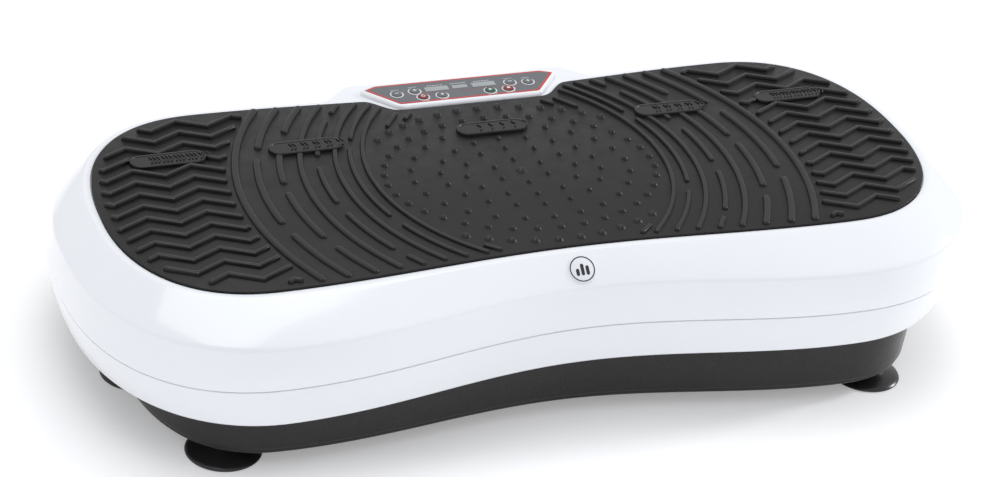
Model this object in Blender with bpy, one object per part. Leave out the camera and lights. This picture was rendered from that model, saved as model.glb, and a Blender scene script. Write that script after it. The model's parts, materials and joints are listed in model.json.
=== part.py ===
"""Vibration plate: rocking standing platform on a base tray with suction feet.

Metres, +Z up, +X along the length, -Y is the long side a user faces from the front.
The floor is Z = 0. The platform is stored at the end of its rock, left end down.
"""

import math

import bmesh
import bpy
from mathutils import Euler, Matrix, Vector

# Rocking motion
PIVOT_Z = 0.085
REST_TILT = math.radians(-1.7)
CRANK_ARM = 0.045
ECCENTRICITY = 0.00133

# Levels of the platform shell, measured square to its own deck
SKIRT_BOTTOM_Z = 0.0475
SKIRT_MIDDLE_Z = 0.0610
PARTING_Z = 0.0772
BELT_Z = 0.090
CREASE_Z = 0.1115
RIM_Z = 0.1285
DECK_Z = 0.1265
MAT_TOP_Z = 0.1300
WALL = 0.003

# Outlines: half length, half depth at the lobes, front waist, back waist,
# distance of the lobes from the middle, corner squareness, bulge behind the panel,
# and how far the rear lobes are pulled in, which also eases their corners
REAR_EASING = 20.0
SKIRT_BOTTOM = (0.3255, 0.1570, 0.1330, 0.1495, 0.205, 2.16, 0.000)
SKIRT_MIDDLE = (0.3300, 0.1590, 0.1343, 0.1515, 0.204, 2.24, 0.000)
PARTING = (0.3318, 0.1600, 0.1352, 0.1534, 0.203, 2.34, 0.001)
BELT = (0.3315, 0.1625, 0.1370, 0.1500, 0.202, 2.32, 0.0055, 0.006)
CREASE = (0.3280, 0.1598, 0.1348, 0.1385, 0.200, 2.38, 0.0125, 0.018)
RIM = (0.3065, 0.1265, 0.1160, 0.1195, 0.204, 2.34, 0.0215)
MAT = (0.3000, 0.1225, 0.1120, 0.1135, 0.204, 2.40, 0.000)
TRAY_BOTTOM = (0.2945, 0.1480, 0.1272, 0.1420, 0.203, 2.60, 0.000)
TRAY_TOP = (0.2965, 0.1500, 0.1284, 0.1440, 0.203, 2.60, 0.000)

# Base
TRAY_Z = 0.012
TRAY_FLOOR = 0.003
TRAY_RIM_Z = 0.064
TRAY_WALL = 0.0028
BASE_PLATE = (0.190, 0.090, 0.0025)
FOOT_X, FOOT_Y = 0.241, 0.119
END_FOOT_X, END_FOOT_Y = 0.276, -0.016
FOOT_R = 0.0264
SCREW_X, SCREW_Y = 0.165, 0.070

# Drive
AXLE_R = 0.007
RUNNING_GAP = 0.00008
SHAFT_R = 0.005
JOURNAL_R = 0.008
BIG_END_BORE_R = 0.0111
LINK_PIN_R = 0.005
SHAFT_Z = 0.0510
LINK_PIN_Z = 0.0940
MOTOR_X, MOTOR_Z, MOTOR_R = -0.130, 0.0545, 0.0320
BELT_Y = 0.0720
DRIVEN_GROOVE_R, MOTOR_GROOVE_R = 0.020, 0.012

# Control panel
PANEL_TIP = (0.0748, 0.1280)
PANEL_BACK = (0.0655, 0.1325)
PANEL_FRONT = (0.0545, 0.1022)
HOUSING_MARGIN = 0.0030
NOTCH_REACH = 0.0820
HOUSING_TOP_Z = 0.1320
OVERLAY_TOP_Z = 0.1330
BUTTON_R = 0.0042
BUTTON_TRAVEL = 0.0005
BUTTONS = {
    "button_preset_left": (-0.0530, 0.1172),
    "button_preset_right": (-0.0385, 0.1192),
    "button_power": (-0.0350, 0.1094),
    "button_mode": (-0.0200, 0.1094),
    "button_start": (0.0180, 0.1094),
    "button_stop": (0.0325, 0.1094),
    "button_speed_down": (0.0370, 0.1188),
    "button_speed_up": (0.0510, 0.1172),
}
DISPLAY_Y = 0.1198
DISPLAYS = {
    "display_speed": (-0.0210, 0.0185, 0.0064),
    "display_mode": (-0.0028, 0.0120, 0.0048),
    "display_time": (0.0160, 0.0185, 0.0064),
}
BOARD_Y = 0.1148

# Moulded relief of the mat, given for the right half and mirrored
RIB_HEIGHT = 0.0018
ZIGZAG_HEIGHT = 0.0022
BADGE_HEIGHT = 0.0025
BADGES = ((-0.2400, 0.0565), (-0.1408, 0.0565), (0.0, 0.0560), (0.1408, 0.0565), (0.2400, 0.0565))
BADGE_HALF = 0.0272
BADGE_R = 0.0085
RIB_APEX = (0.1080, 0.1178, 0.1290, 0.1420, 0.1552, 0.1703, 0.1870, 0.2030)
RIB_GAPS = {
    1: ((0.0480, 0.0592), (-0.0605, -0.0490)),
    3: ((0.0914, 0.1004), (0.0270, 0.0412), (-0.0387, -0.0251), (-0.0990, -0.0920)),
    5: ((0.0650, 0.0785), (-0.0026, 0.0090), (-0.0786, -0.0670)),
    6: ((0.0463, 0.0598), (-0.0567, -0.0432)),
}
ZIGZAG_ROWS = 16
ZIGZAG_TOP_Y = 0.1161
ZIGZAG_PITCH = 0.01606
ZIGZAG_HALF_WAVE = 0.0205
ZIGZAG_RISE = 0.0115
ZIGZAG_WIDTH = 0.0032
DOME_CENTRE_Y = -0.0070
DOME_RINGS = (
    (0.0190, 0.0160, 6, 0.0023),
    (0.0410, 0.0335, 12, 0.0024),
    (0.0585, 0.0480, 18, 0.0026),
    (0.0794, 0.0652, 24, 0.0030),
    (0.0990, 0.0790, 36, 0.0036),
    (0.1165, 0.0955, 45, 0.0044),
)


def clear_scene():
    for item in list(bpy.data.objects):
        bpy.data.objects.remove(item, do_unlink=True)


def material(name, colour, roughness, metallic=0.0):
    made = bpy.data.materials.new(name)
    made.use_nodes = True
    shader = made.node_tree.nodes["Principled BSDF"]
    shader.inputs["Base Color"].default_value = (*colour, 1.0)
    shader.inputs["Roughness"].default_value = roughness
    shader.inputs["Metallic"].default_value = metallic
    return made


def finish(bm, name, colour, roughness=0.5, metallic=0.0, at=(0.0, 0.0, 0.0), tilt=None):
    """Turn a bmesh into a named object at a point, riding on the tilting empty if given."""
    bmesh.ops.recalc_face_normals(bm, faces=bm.faces)
    mesh = bpy.data.meshes.new(name)
    bm.to_mesh(mesh)
    bm.free()
    mesh.materials.append(material(name, colour, roughness, metallic))
    made = bpy.data.objects.new(name, mesh)
    bpy.context.scene.collection.objects.link(made)
    made.location = at
    if tilt is not None:
        made.parent = tilt
        made.location = Vector(at) - Vector((0.0, 0.0, PIVOT_Z))
    return made


def tilting_empty():
    empty = bpy.data.objects.new("platform_tilt", None)
    empty.location = (0.0, 0.0, PIVOT_Z)
    empty.rotation_euler = Euler((0.0, REST_TILT, 0.0))
    bpy.context.scene.collection.objects.link(empty)
    return empty


def smooth_step(value):
    value = min(max(value, 0.0), 1.0)
    return value * value * (3.0 - 2.0 * value)


def outline(half_x, half_y, front, back, lobe_x, power, bulge, rear=0.0, corner=10, inset=0.0):
    """Closed waisted outline, counter-clockwise from the right end."""
    half_x = half_x - inset
    half_y = half_y - inset
    front = front - inset
    back = back - inset
    waist_x = (1.0, 0.86, 0.70, 0.56, 0.47, 0.40, 0.30, 0.15, 0.0)
    rear_y = half_y - rear
    backs = []
    fronts = []
    for points, depth, squareness in ((fronts, half_y, power), (backs, rear_y, power - REAR_EASING * rear)):
        for step in range(corner + 1):
            angle = 0.5 * math.pi * step / corner
            x = lobe_x + (half_x - lobe_x) * math.cos(angle) ** (2.0 / squareness)
            points.append((x, depth * math.sin(angle) ** (2.0 / squareness)))
    for part in waist_x[1:]:
        x = lobe_x * part
        blend = (1.0 - math.cos(math.pi * part)) / 2.0
        lift = bulge * (1.0 - smooth_step((x - 0.080) / 0.030))
        backs.append((x, back + (rear_y - back) * blend + lift))
        fronts.append((x, front + (half_y - front) * blend))
    points = list(backs)
    points += [(-x, y) for x, y in reversed(backs[:-1])]
    points += [(-x, -y) for x, y in fronts[1:]]
    points += [(x, -y) for x, y in reversed(fronts[1:-1])]
    return points


def loft(rings, cap_start=True, cap_end=True, closed=False):
    """Skin a row of equal-length rings of 3D points."""
    bm = bmesh.new()
    rows = [[bm.verts.new(point) for point in ring] for ring in rings]
    pairs = list(zip(rows[:-1], rows[1:]))
    if closed:
        pairs.append((rows[-1], rows[0]))
    for low, high in pairs:
        count = len(low)
        for index in range(count):
            after = (index + 1) % count
            bm.faces.new((low[index], low[after], high[after], high[index]))
    if cap_start and not closed:
        bm.faces.new(list(reversed(rows[0])))
    if cap_end and not closed:
        bm.faces.new(rows[-1])
    return bm


def at_height(points, z):
    return [(x, y, z) for x, y in points]


def prism(points, low, high):
    return loft([at_height(points, low), at_height(points, high)])


def circle(radius, count=32, centre=(0.0, 0.0), phase=0.0):
    points = []
    for index in range(count):
        angle = 2.0 * math.pi * index / count + phase
        points.append((centre[0] + radius * math.cos(angle), centre[1] + radius * math.sin(angle)))
    return points


def lathe(profile, count=32, axis="Z", closed=False):
    """Turn (radius, height) points about an axis; zero radius points become single poles."""
    bm = bmesh.new()
    rows = []
    for radius, height in profile:
        if radius == 0.0:
            rows.append([bm.verts.new((0.0, 0.0, height))])
        else:
            rows.append([bm.verts.new((x, y, height)) for x, y in circle(radius, count)])
    pairs = list(zip(rows[:-1], rows[1:]))
    if closed:
        pairs.append((rows[-1], rows[0]))
    for low, high in pairs:
        for index in range(count):
            after = (index + 1) % count
            if len(low) == 1:
                bm.faces.new((low[0], high[after], high[index]))
            elif len(high) == 1:
                bm.faces.new((low[index], low[after], high[0]))
            else:
                bm.faces.new((low[index], low[after], high[after], high[index]))
    if axis == "Y":
        bmesh.ops.rotate(bm, verts=bm.verts, matrix=Matrix.Rotation(-math.pi / 2.0, 3, "X"))
    return bm


def block(size, centre=(0.0, 0.0, 0.0), bevel=0.0):
    bm = bmesh.new()
    bmesh.ops.create_cube(bm, size=1.0)
    bmesh.ops.scale(bm, verts=bm.verts, vec=size)
    if bevel > 0.0:
        bmesh.ops.bevel(bm, geom=bm.edges[:], offset=bevel, segments=1, affect="EDGES")
    bmesh.ops.translate(bm, verts=bm.verts, vec=centre)
    return bm


def pour(target, source):
    """Add the faces of one bmesh to another."""
    mesh = bpy.data.meshes.new("poured")
    source.to_mesh(mesh)
    source.free()
    target.from_mesh(mesh)
    bpy.data.meshes.remove(mesh)


def boolean(body, cutters, operation="DIFFERENCE"):
    """Apply one exact boolean to an object with a list of bmeshes."""
    joined = bmesh.new()
    for cutter in cutters:
        bmesh.ops.recalc_face_normals(cutter, faces=cutter.faces)
        pour(joined, cutter)
    mesh = bpy.data.meshes.new("tool")
    joined.to_mesh(mesh)
    joined.free()
    tool = bpy.data.objects.new("tool", mesh)
    bpy.context.scene.collection.objects.link(tool)
    tool.matrix_world = Matrix.Identity(4)
    made = body.modifiers.new("solid", "BOOLEAN")
    made.operation = operation
    made.solver = "EXACT"
    made.use_self = operation == "UNION"
    made.object = tool
    bpy.context.view_layer.update()
    graph = bpy.context.evaluated_depsgraph_get()
    result = bpy.data.meshes.new_from_object(body.evaluated_get(graph))
    body.modifiers.clear()
    old = body.data
    body.data = result
    bpy.data.meshes.remove(old)
    bpy.data.objects.remove(tool, do_unlink=True)


def hexagon(margin=0.0):
    """Six-sided panel outline grown by a margin, counter-clockwise."""
    corners = [
        (PANEL_TIP[0], PANEL_TIP[1]),
        (PANEL_BACK[0], PANEL_BACK[1]),
        (-PANEL_BACK[0], PANEL_BACK[1]),
        (-PANEL_TIP[0], PANEL_TIP[1]),
        (-PANEL_FRONT[0], PANEL_FRONT[1]),
        (PANEL_FRONT[0], PANEL_FRONT[1]),
    ]
    grown = []
    for index, corner in enumerate(corners):
        before = Vector(corners[index - 1])
        here = Vector(corner)
        after = Vector(corners[(index + 1) % 6])
        first = (here - before).normalized()
        second = (after - here).normalized()
        normal_a = Vector((first.y, -first.x))
        normal_b = Vector((second.y, -second.x))
        middle = (normal_a + normal_b).normalized()
        point = here + middle * (margin / middle.dot(normal_a))
        grown.append((point.x, point.y))
    return grown


def ring_prism(outer, inner, low, high):
    """Flat ring between two outlines with the same number of points."""
    rings = [
        at_height(outer, low),
        at_height(outer, high),
        at_height(inner, high),
        at_height(inner, low),
    ]
    return loft(rings, closed=True)


def tilted(x, z):
    """World position of a point given in the platform's own X and Z."""
    moved = Matrix.Rotation(REST_TILT, 3, "Y") @ Vector((x, 0.0, z - PIVOT_Z))
    return moved.x, moved.z + PIVOT_Z


def mat_outline(inset=0.0):
    """Mat edge with the notch that clears the control panel housing."""
    points = outline(*MAT, inset=inset)
    notch = hexagon(HOUSING_MARGIN + 0.0008 + inset)
    tip, front = Vector(notch[0]), Vector(notch[5])
    edge_y = max(y for x, y in points if abs(x) < 0.1)
    share = (edge_y - front.y) / (tip.y - front.y)
    mouth_x = front.x + (tip.x - front.x) * share
    made = []
    placed = False
    for (x, y), (full_x, full_y) in zip(points, outline(*MAT)):
        if full_y > 0.0 and abs(full_x) < NOTCH_REACH:
            if not placed:
                made += [(mouth_x, edge_y), (front.x, front.y), (-front.x, front.y), (-mouth_x, edge_y)]
                placed = True
            continue
        made.append((x, y))
    return made


def inside_mat(x, y, inset):
    """Even-odd test of a point against the inset mat edge."""
    points = mat_outline(inset)
    hit = False
    for index, (ax, ay) in enumerate(points):
        bx, by = points[index - 1]
        if (ay > y) != (by > y) and x < (bx - ax) * (y - ay) / (by - ay) + ax:
            hit = not hit
    return hit


def near_badge(x, y, margin):
    for bx, by in BADGES:
        if abs(x - bx) < BADGE_HALF + margin and abs(y - by) < BADGE_R + margin:
            return True
    return False


def strip(line, width, low, high):
    """Raised rib along a polyline."""
    left = []
    right = []
    for index, point in enumerate(line):
        before = Vector(line[max(index - 1, 0)])
        after = Vector(line[min(index + 1, len(line) - 1)])
        along = (after - before).normalized()
        side = Vector((-along.y, along.x)) * width / 2.0
        left.append(tuple(Vector(point) + side))
        right.append(tuple(Vector(point) - side))
    return prism(right + list(reversed(left)), low, high)


def rib_x(index, y):
    """Distance of a curved rib from the middle of the mat at a given Y."""
    share = index / 7.0
    radius = 0.1540 + 0.0760 * share
    middle = 0.0020 - 0.0160 * share
    return RIB_APEX[index] - radius + math.sqrt(radius * radius - (y - middle) ** 2)


def kept_runs(points, test):
    """Split a finely stepped line into the runs that pass a test."""
    runs = []
    run = []
    for point in points:
        if test(point):
            run.append(point)
        else:
            if len(run) > 2:
                runs.append(run)
            run = []
    if len(run) > 2:
        runs.append(run)
    return runs


def thinned(line, keep_every):
    """Drop points of a finely stepped line, keeping its ends and its corners."""
    made = [line[0]]
    for index in range(1, len(line) - 1):
        before = Vector(line[index]) - Vector(line[index - 1])
        after = Vector(line[index + 1]) - Vector(line[index])
        corner = before.normalized().dot(after.normalized()) < 0.98
        if corner or (keep_every and index % keep_every == 0 and len(line) - 1 - index > keep_every // 2):
            made.append(line[index])
    made.append(line[-1])
    return made


def rib_runs(index):
    """Pieces of one curved rib on the right half."""
    gaps = RIB_GAPS.get(index, ())
    points = [(rib_x(index, 0.125 - 0.002 * step), 0.125 - 0.002 * step) for step in range(126)]

    def keeps(point):
        if any(low < point[1] < high for low, high in gaps):
            return False
        return inside_mat(point[0], point[1], 0.0045)

    return [thinned(run, 8) for run in kept_runs(points, keeps)]


def zigzag_runs(row):
    """Pieces of one zigzag row on the right half."""
    base = ZIGZAG_TOP_Y - ZIGZAG_PITCH * row
    start = 0.2012 + (0.100 - base) * 0.071 - 2.0 * ZIGZAG_HALF_WAVE
    steps = 14
    points = []
    for wave in range(7):
        for step in range(steps):
            share = step / steps
            rise = share if wave % 2 == 0 else 1.0 - share
            points.append((start + (wave + share) * ZIGZAG_HALF_WAVE, base + rise * ZIGZAG_RISE))

    def keeps(point):
        x, y = point
        if near_badge(x, y, 0.0035) or not inside_mat(x, y, 0.0095):
            return False
        return x > rib_x(7, max(min(y, 0.13), -0.13)) + 0.0075

    return [thinned(run, 0) for run in kept_runs(points, keeps)]


def mat_relief():
    """Raised pieces of the mat: ribs, domes and badges, sunk slightly into the sheet."""
    low = MAT_TOP_Z - 0.0006
    pieces = []
    for x, y in BADGES:
        pill = []
        for px, py in circle(BADGE_R, 16, phase=math.pi / 16.0):
            pill.append((x + px + math.copysign(BADGE_HALF - BADGE_R, px), y + py))
        pieces.append(prism(pill, low, MAT_TOP_Z + BADGE_HEIGHT))
    for side in (1.0, -1.0):
        for index in range(8):
            width = 0.0034 + 0.0026 * index / 7.0
            for run in rib_runs(index):
                line = [(side * x, y) for x, y in run]
                pieces.append(strip(line, width, low - 0.0001 * (index % 2), MAT_TOP_Z + RIB_HEIGHT))
        for row in range(ZIGZAG_ROWS):
            for run in zigzag_runs(row):
                line = [(side * x, y) for x, y in run]
                pieces.append(strip(line, ZIGZAG_WIDTH, low, MAT_TOP_Z + ZIGZAG_HEIGHT))
    pieces.append(dome(0.0, DOME_CENTRE_Y, 0.0043))
    for reach_x, reach_y, count, size in DOME_RINGS:
        for index in range(count):
            angle = math.pi / 2.0 + 2.0 * math.pi * index / count
            x = reach_x * math.cos(angle)
            y = DOME_CENTRE_Y + reach_y * math.sin(angle)
            inner = rib_x(0, max(min(y, 0.13), -0.13)) - size - 0.0030
            if abs(x) < inner and inside_mat(x, y, size + 0.0045) and not near_badge(x, y, size + 0.001):
                pieces.append(dome(x, y, size))
    return pieces


def dome(x, y, size):
    low = MAT_TOP_Z - 0.0006
    high = MAT_TOP_Z + 0.55 * size
    return loft([at_height(circle(size, 6, (x, y)), low), at_height(circle(size * 0.5, 6, (x, y)), high)])


def shell_rings(levels, inner):
    """Rings of an outer skin followed by the inner skin, both given as (outline, z, inset)."""
    rings = []
    for shape, z, inset in levels + inner:
        rings.append(at_height(outline(*shape, inset=inset), z))
    return rings


def build_platform(tilt):
    white = (0.86, 0.87, 0.89)
    black = (0.022, 0.022, 0.024)
    outer = [
        (PARTING, PARTING_Z, 0.0),
        (BELT, BELT_Z, 0.0),
        (CREASE, CREASE_Z - 0.004, -0.0025),
        (CREASE, CREASE_Z, 0.0),
        (RIM, RIM_Z - 0.0006, -0.0010),
        (RIM, RIM_Z, 0.0006),
        (RIM, RIM_Z, 0.0026),
        (RIM, DECK_Z, 0.0032),
    ]
    inner = [
        (RIM, DECK_Z - WALL, 0.0060),
        (CREASE, CREASE_Z - 0.003, WALL),
        (BELT, BELT_Z, WALL),
        (PARTING, PARTING_Z, WALL),
    ]
    rings = shell_rings(list(reversed(inner)) + outer, [])
    order = rings[:4][::-1] + rings[4:]
    bm = loft(order, cap_start=True, cap_end=True)
    finish(bm, "top_cover", white, 0.16, tilt=tilt, at=(0.0, 0.0, 0.0))
    skirt = [
        (SKIRT_BOTTOM, SKIRT_BOTTOM_Z, 0.0006),
        (SKIRT_BOTTOM, SKIRT_BOTTOM_Z + 0.0012, 0.0),
        (SKIRT_MIDDLE, SKIRT_MIDDLE_Z, 0.0),
        (PARTING, PARTING_Z - 0.0006, 0.0004),
        (PARTING, PARTING_Z - 0.0006, WALL),
        (SKIRT_MIDDLE, SKIRT_MIDDLE_Z, WALL),
        (SKIRT_BOTTOM, SKIRT_BOTTOM_Z, 0.0026),
    ]
    finish(loft(shell_rings(skirt, []), closed=True), "lower_skirt", white, 0.18, tilt=tilt)
    mat = [
        at_height(mat_outline(0.0004), DECK_Z + 0.0003),
        at_height(mat_outline(0.0), MAT_TOP_Z - 0.0008),
        at_height(mat_outline(0.0010), MAT_TOP_Z),
    ]
    rubber = finish(loft(mat), "rubber_mat", black, 0.85)
    boolean(rubber, mat_relief(), "UNION")
    rubber.parent = tilt
    rubber.location = (0.0, 0.0, -PIVOT_Z)
    plate = prism(
        [(-0.205, -0.080), (0.205, -0.080), (0.205, 0.080), (-0.205, 0.080)],
        DECK_Z - WALL - 0.0045,
        DECK_Z - WALL - 0.0005,
    )
    steel = (0.30, 0.31, 0.32)
    finish(plate, "platform_plate", steel, 0.4, 0.9, tilt=tilt)
    plate_low = DECK_Z - WALL - 0.0045
    for name, y in (("axle_lug_front", -0.028), ("axle_lug_rear", 0.028)):
        finish_lug(name, 0.0, y, PIVOT_Z, 0.012, 0.008, AXLE_R, plate_low, tilt)
    for name, y in (("link_lug_front", -0.0115), ("link_lug_rear", 0.0115)):
        finish_lug(name, CRANK_ARM, y, LINK_PIN_Z, 0.009, 0.006, LINK_PIN_R, plate_low, tilt)
    axle = lathe([(0.0, -0.056), (AXLE_R, -0.056), (AXLE_R, 0.056), (0.0, 0.056)], 32, "Y")
    finish(axle, "pivot_axle", steel, 0.25, 1.0, at=(0.0, 0.0, PIVOT_Z), tilt=tilt)
    pin = lathe([(0.0, -0.0165), (LINK_PIN_R, -0.0165), (LINK_PIN_R, 0.0165), (0.0, 0.0165)], 32, "Y")
    finish(pin, "link_pin", steel, 0.25, 1.0, at=(CRANK_ARM, 0.0, LINK_PIN_Z), tilt=tilt)
    badge = lathe([(0.0, 0.0), (0.0095, 0.0), (0.0095, 0.0007), (0.0088, 0.0011), (0.0, 0.0011)], 32)
    made = finish(badge, "front_badge", (0.62, 0.64, 0.66), 0.3)
    low = Vector((0.0, -CREASE[2], CREASE_Z))
    high = Vector((0.0, -RIM[2] - 0.001, RIM_Z - 0.0006))
    slope = (high - low).normalized()
    normal = Vector((0.0, -slope.z, slope.y))
    centre = (low + high) / 2.0 + normal * 0.0003
    made.parent = tilt
    made.location = centre - Vector((0.0, 0.0, PIVOT_Z))
    made.rotation_euler = Euler((math.atan2(-normal.y, normal.z), 0.0, 0.0))
    build_panel(tilt)


def finish_lug(name, x, y, axis_z, half, thick, pin_r, top_z, tilt):
    """Steel ear hanging from the plate, round at the foot, with a bore for a pin."""
    steel = (0.33, 0.34, 0.35)
    count = 32
    ring = circle(pin_r + RUNNING_GAP, count, phase=math.pi / count)
    outer = []
    for px, pz in circle(half, count, phase=math.pi / count):
        if pz > 0.0:
            scale = half / max(abs(px), half * 0.35)
            lift = top_z - 0.0004 - axis_z
            if abs(px) * lift >= pz * half:
                outer.append((math.copysign(half, px), pz * scale))
            else:
                outer.append((px / pz * lift, lift))
        else:
            outer.append((px, pz))
    low = y - thick / 2.0
    high = y + thick / 2.0
    rings = [
        [(px, low, pz) for px, pz in outer],
        [(px, high, pz) for px, pz in outer],
        [(px, high, pz) for px, pz in ring],
        [(px, low, pz) for px, pz in ring],
    ]
    bm = loft(rings, closed=True)
    finish(bm, name, steel, 0.45, 0.9, at=(x, 0.0, axis_z), tilt=tilt)


def build_panel(tilt):
    white = (0.86, 0.87, 0.89)
    housing = ring_prism(hexagon(HOUSING_MARGIN), hexagon(-0.0010), DECK_Z + 0.0003, HOUSING_TOP_Z)
    finish(housing, "panel_housing", white, 0.2, tilt=tilt)
    overlay = finish(
        prism(hexagon(-0.0018), HOUSING_TOP_Z + 0.0003, OVERLAY_TOP_Z),
        "control_overlay", (0.105, 0.110, 0.115), 0.45,
    )
    holes = []
    for x, y in BUTTONS.values():
        holes.append(prism(circle(BUTTON_R + 0.0006, 12, (x, y)), 0.120, 0.140))
    boolean(overlay, holes)
    overlay.parent = tilt
    overlay.location = (0.0, 0.0, -PIVOT_Z)
    border = ring_prism(
        hexagon(-0.0002), hexagon(-0.0015), HOUSING_TOP_Z + 0.0003, OVERLAY_TOP_Z + 0.0001
    )
    finish(border, "panel_border", (0.60, 0.03, 0.03), 0.4, tilt=tilt)
    for name, (x, width, depth) in DISPLAYS.items():
        window = block((width, depth, 0.0008), (0.0, 0.0, 0.0), 0.0002)
        finish(window, name, (0.20, 0.21, 0.22), 0.1, at=(x, DISPLAY_Y, OVERLAY_TOP_Z + 0.0007), tilt=tilt)
    board = block((0.104, 0.0165, 0.0014))
    finish(board, "control_board", (0.02, 0.16, 0.07), 0.5, at=(0.0, BOARD_Y, DECK_Z + 0.0018), tilt=tilt)
    red = (0.42, 0.03, 0.03)
    green = (0.03, 0.22, 0.09)
    for name, (x, y) in BUTTONS.items():
        colour = (0.70, 0.70, 0.70)
        if name in ("button_power", "button_stop"):
            colour = red
        if name == "button_start":
            colour = green
        profile = [
            (0.0, 0.0), (BUTTON_R, 0.0), (BUTTON_R, 0.0030), (BUTTON_R - 0.0006, 0.0036), (0.0, 0.0036),
        ]
        finish(lathe(profile, 12), name, colour, 0.4, at=(x, y, OVERLAY_TOP_Z - 0.0026), tilt=tilt)


def build_base():
    dark = (0.018, 0.018, 0.020)
    rings = [
        at_height(outline(*TRAY_TOP, inset=TRAY_WALL + 0.003), TRAY_Z + TRAY_FLOOR),
        at_height(outline(*TRAY_TOP, inset=TRAY_WALL), TRAY_Z + TRAY_FLOOR + 0.003),
        at_height(outline(*TRAY_TOP, inset=TRAY_WALL), TRAY_RIM_Z),
        at_height(outline(*TRAY_TOP), TRAY_RIM_Z),
        at_height(outline(*TRAY_BOTTOM), TRAY_Z + 0.004),
        at_height(outline(*TRAY_BOTTOM, inset=0.003), TRAY_Z),
    ]
    tray = finish(loft(rings), "base_tray", dark, 0.35)
    cuts = []
    for x in (-FOOT_X, FOOT_X):
        for y in (-FOOT_Y, FOOT_Y):
            cuts.append(prism(circle(0.0034, 16, (x, y)), 0.0, 0.03))
        cuts.append(prism(circle(0.0034, 16, (math.copysign(END_FOOT_X, x), END_FOOT_Y)), 0.0, 0.03))
    for x in (-SCREW_X, SCREW_X):
        for y in (-SCREW_Y, SCREW_Y):
            cuts.append(prism(circle(0.0029, 16, (x, y)), 0.0, 0.03))
    cuts.append(block((0.0300, 0.030, 0.0226), (-0.024, 0.142, 0.0300)))
    cuts.append(block((0.0220, 0.030, 0.0150), (0.018, 0.142, 0.0300)))
    boolean(tray, cuts)
    steel = (0.30, 0.31, 0.32)
    floor = TRAY_Z + TRAY_FLOOR + 0.0003
    plate = finish(
        block((2.0 * BASE_PLATE[0], 2.0 * BASE_PLATE[1], BASE_PLATE[2]), (0.0, 0.0, floor + BASE_PLATE[2] / 2.0)),
        "base_plate", steel, 0.4, 0.9,
    )
    cuts = []
    for x in (-SCREW_X, SCREW_X):
        for y in (-SCREW_Y, SCREW_Y):
            cuts.append(prism(circle(0.0029, 16, (x, y)), 0.0, 0.03))
    boolean(plate, cuts)
    deck = floor + BASE_PLATE[2] + 0.0003
    build_feet()
    build_drive(deck)
    build_mains()


def build_feet():
    rubber = (0.015, 0.015, 0.016)
    profile = [
        (0.0, 0.0042), (0.0170, 0.0026), (0.0215, 0.0), (0.0255, 0.0), (FOOT_R, 0.0009), (0.0240, 0.0026),
        (0.0145, 0.0062), (0.0110, 0.0088), (0.0110, TRAY_Z - 0.0003), (0.0034, TRAY_Z - 0.0003),
        (0.0034, 0.0078), (0.0, 0.0078),
    ]
    bolt = [
        (0.0, 0.0082), (0.0030, 0.0082), (0.0030, TRAY_Z + TRAY_FLOOR + 0.0003),
        (0.0062, TRAY_Z + TRAY_FLOOR + 0.0003), (0.0062, TRAY_Z + TRAY_FLOOR + 0.0040),
        (0.0, TRAY_Z + TRAY_FLOOR + 0.0040),
    ]
    names = {
        "front_left": (-FOOT_X, -FOOT_Y),
        "front_right": (FOOT_X, -FOOT_Y),
        "rear_left": (-FOOT_X, FOOT_Y),
        "rear_right": (FOOT_X, FOOT_Y),
    }
    for name, (x, y) in names.items():
        finish(lathe(profile, 20), "suction_foot_" + name, rubber, 0.3, at=(x, y, 0.0))
        finish(lathe(bolt, 12), "foot_bolt_" + name, (0.5, 0.5, 0.5), 0.3, 1.0, at=(x, y, 0.0))
    plug = profile[:9] + [(0.0031, TRAY_Z - 0.0003), (0.0031, TRAY_Z + 0.0046), (0.0, TRAY_Z + 0.0046)]
    for name, x in (("left", -END_FOOT_X), ("right", END_FOOT_X)):
        finish(lathe(plug, 20), "end_foot_" + name, rubber, 0.3, at=(x, END_FOOT_Y, 0.0))
    screw = [
        (0.0, TRAY_Z - 0.0023), (0.0040, TRAY_Z - 0.0023), (0.0048, TRAY_Z - 0.0010),
        (0.0048, TRAY_Z - 0.0003), (0.0025, TRAY_Z - 0.0003), (0.0025, TRAY_Z + 0.0070), (0.0, TRAY_Z + 0.0070),
    ]
    places = {
        "front_left": (-SCREW_X, -SCREW_Y),
        "front_right": (SCREW_X, -SCREW_Y),
        "rear_left": (-SCREW_X, SCREW_Y),
        "rear_right": (SCREW_X, SCREW_Y),
    }
    for name, (x, y) in places.items():
        finish(lathe(screw, 12), "tray_screw_" + name, (0.4, 0.4, 0.4), 0.35, 1.0, at=(x, y, 0.0))


def bearing_block(name, x, y, axis_z, half, thick, bore_r, low_z, colour):
    """Cast block standing on the base plate with a round top and a bore."""
    count = 32
    ring = circle(bore_r, count, phase=math.pi / count)
    outer = []
    drop = low_z - axis_z
    for px, pz in circle(half, count, phase=math.pi / count):
        if pz < 0.0:
            if abs(px) * -drop >= -pz * half:
                outer.append((math.copysign(half, px), pz * half / abs(px)))
            else:
                outer.append((px / -pz * -drop, drop))
        else:
            outer.append((px, pz))
    rings = [
        [(px, -thick / 2.0, pz) for px, pz in outer],
        [(px, thick / 2.0, pz) for px, pz in outer],
        [(px, thick / 2.0, pz) for px, pz in ring],
        [(px, -thick / 2.0, pz) for px, pz in ring],
    ]
    finish(loft(rings, closed=True), name, colour, 0.5, 0.8, at=(x, y, axis_z))


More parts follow.
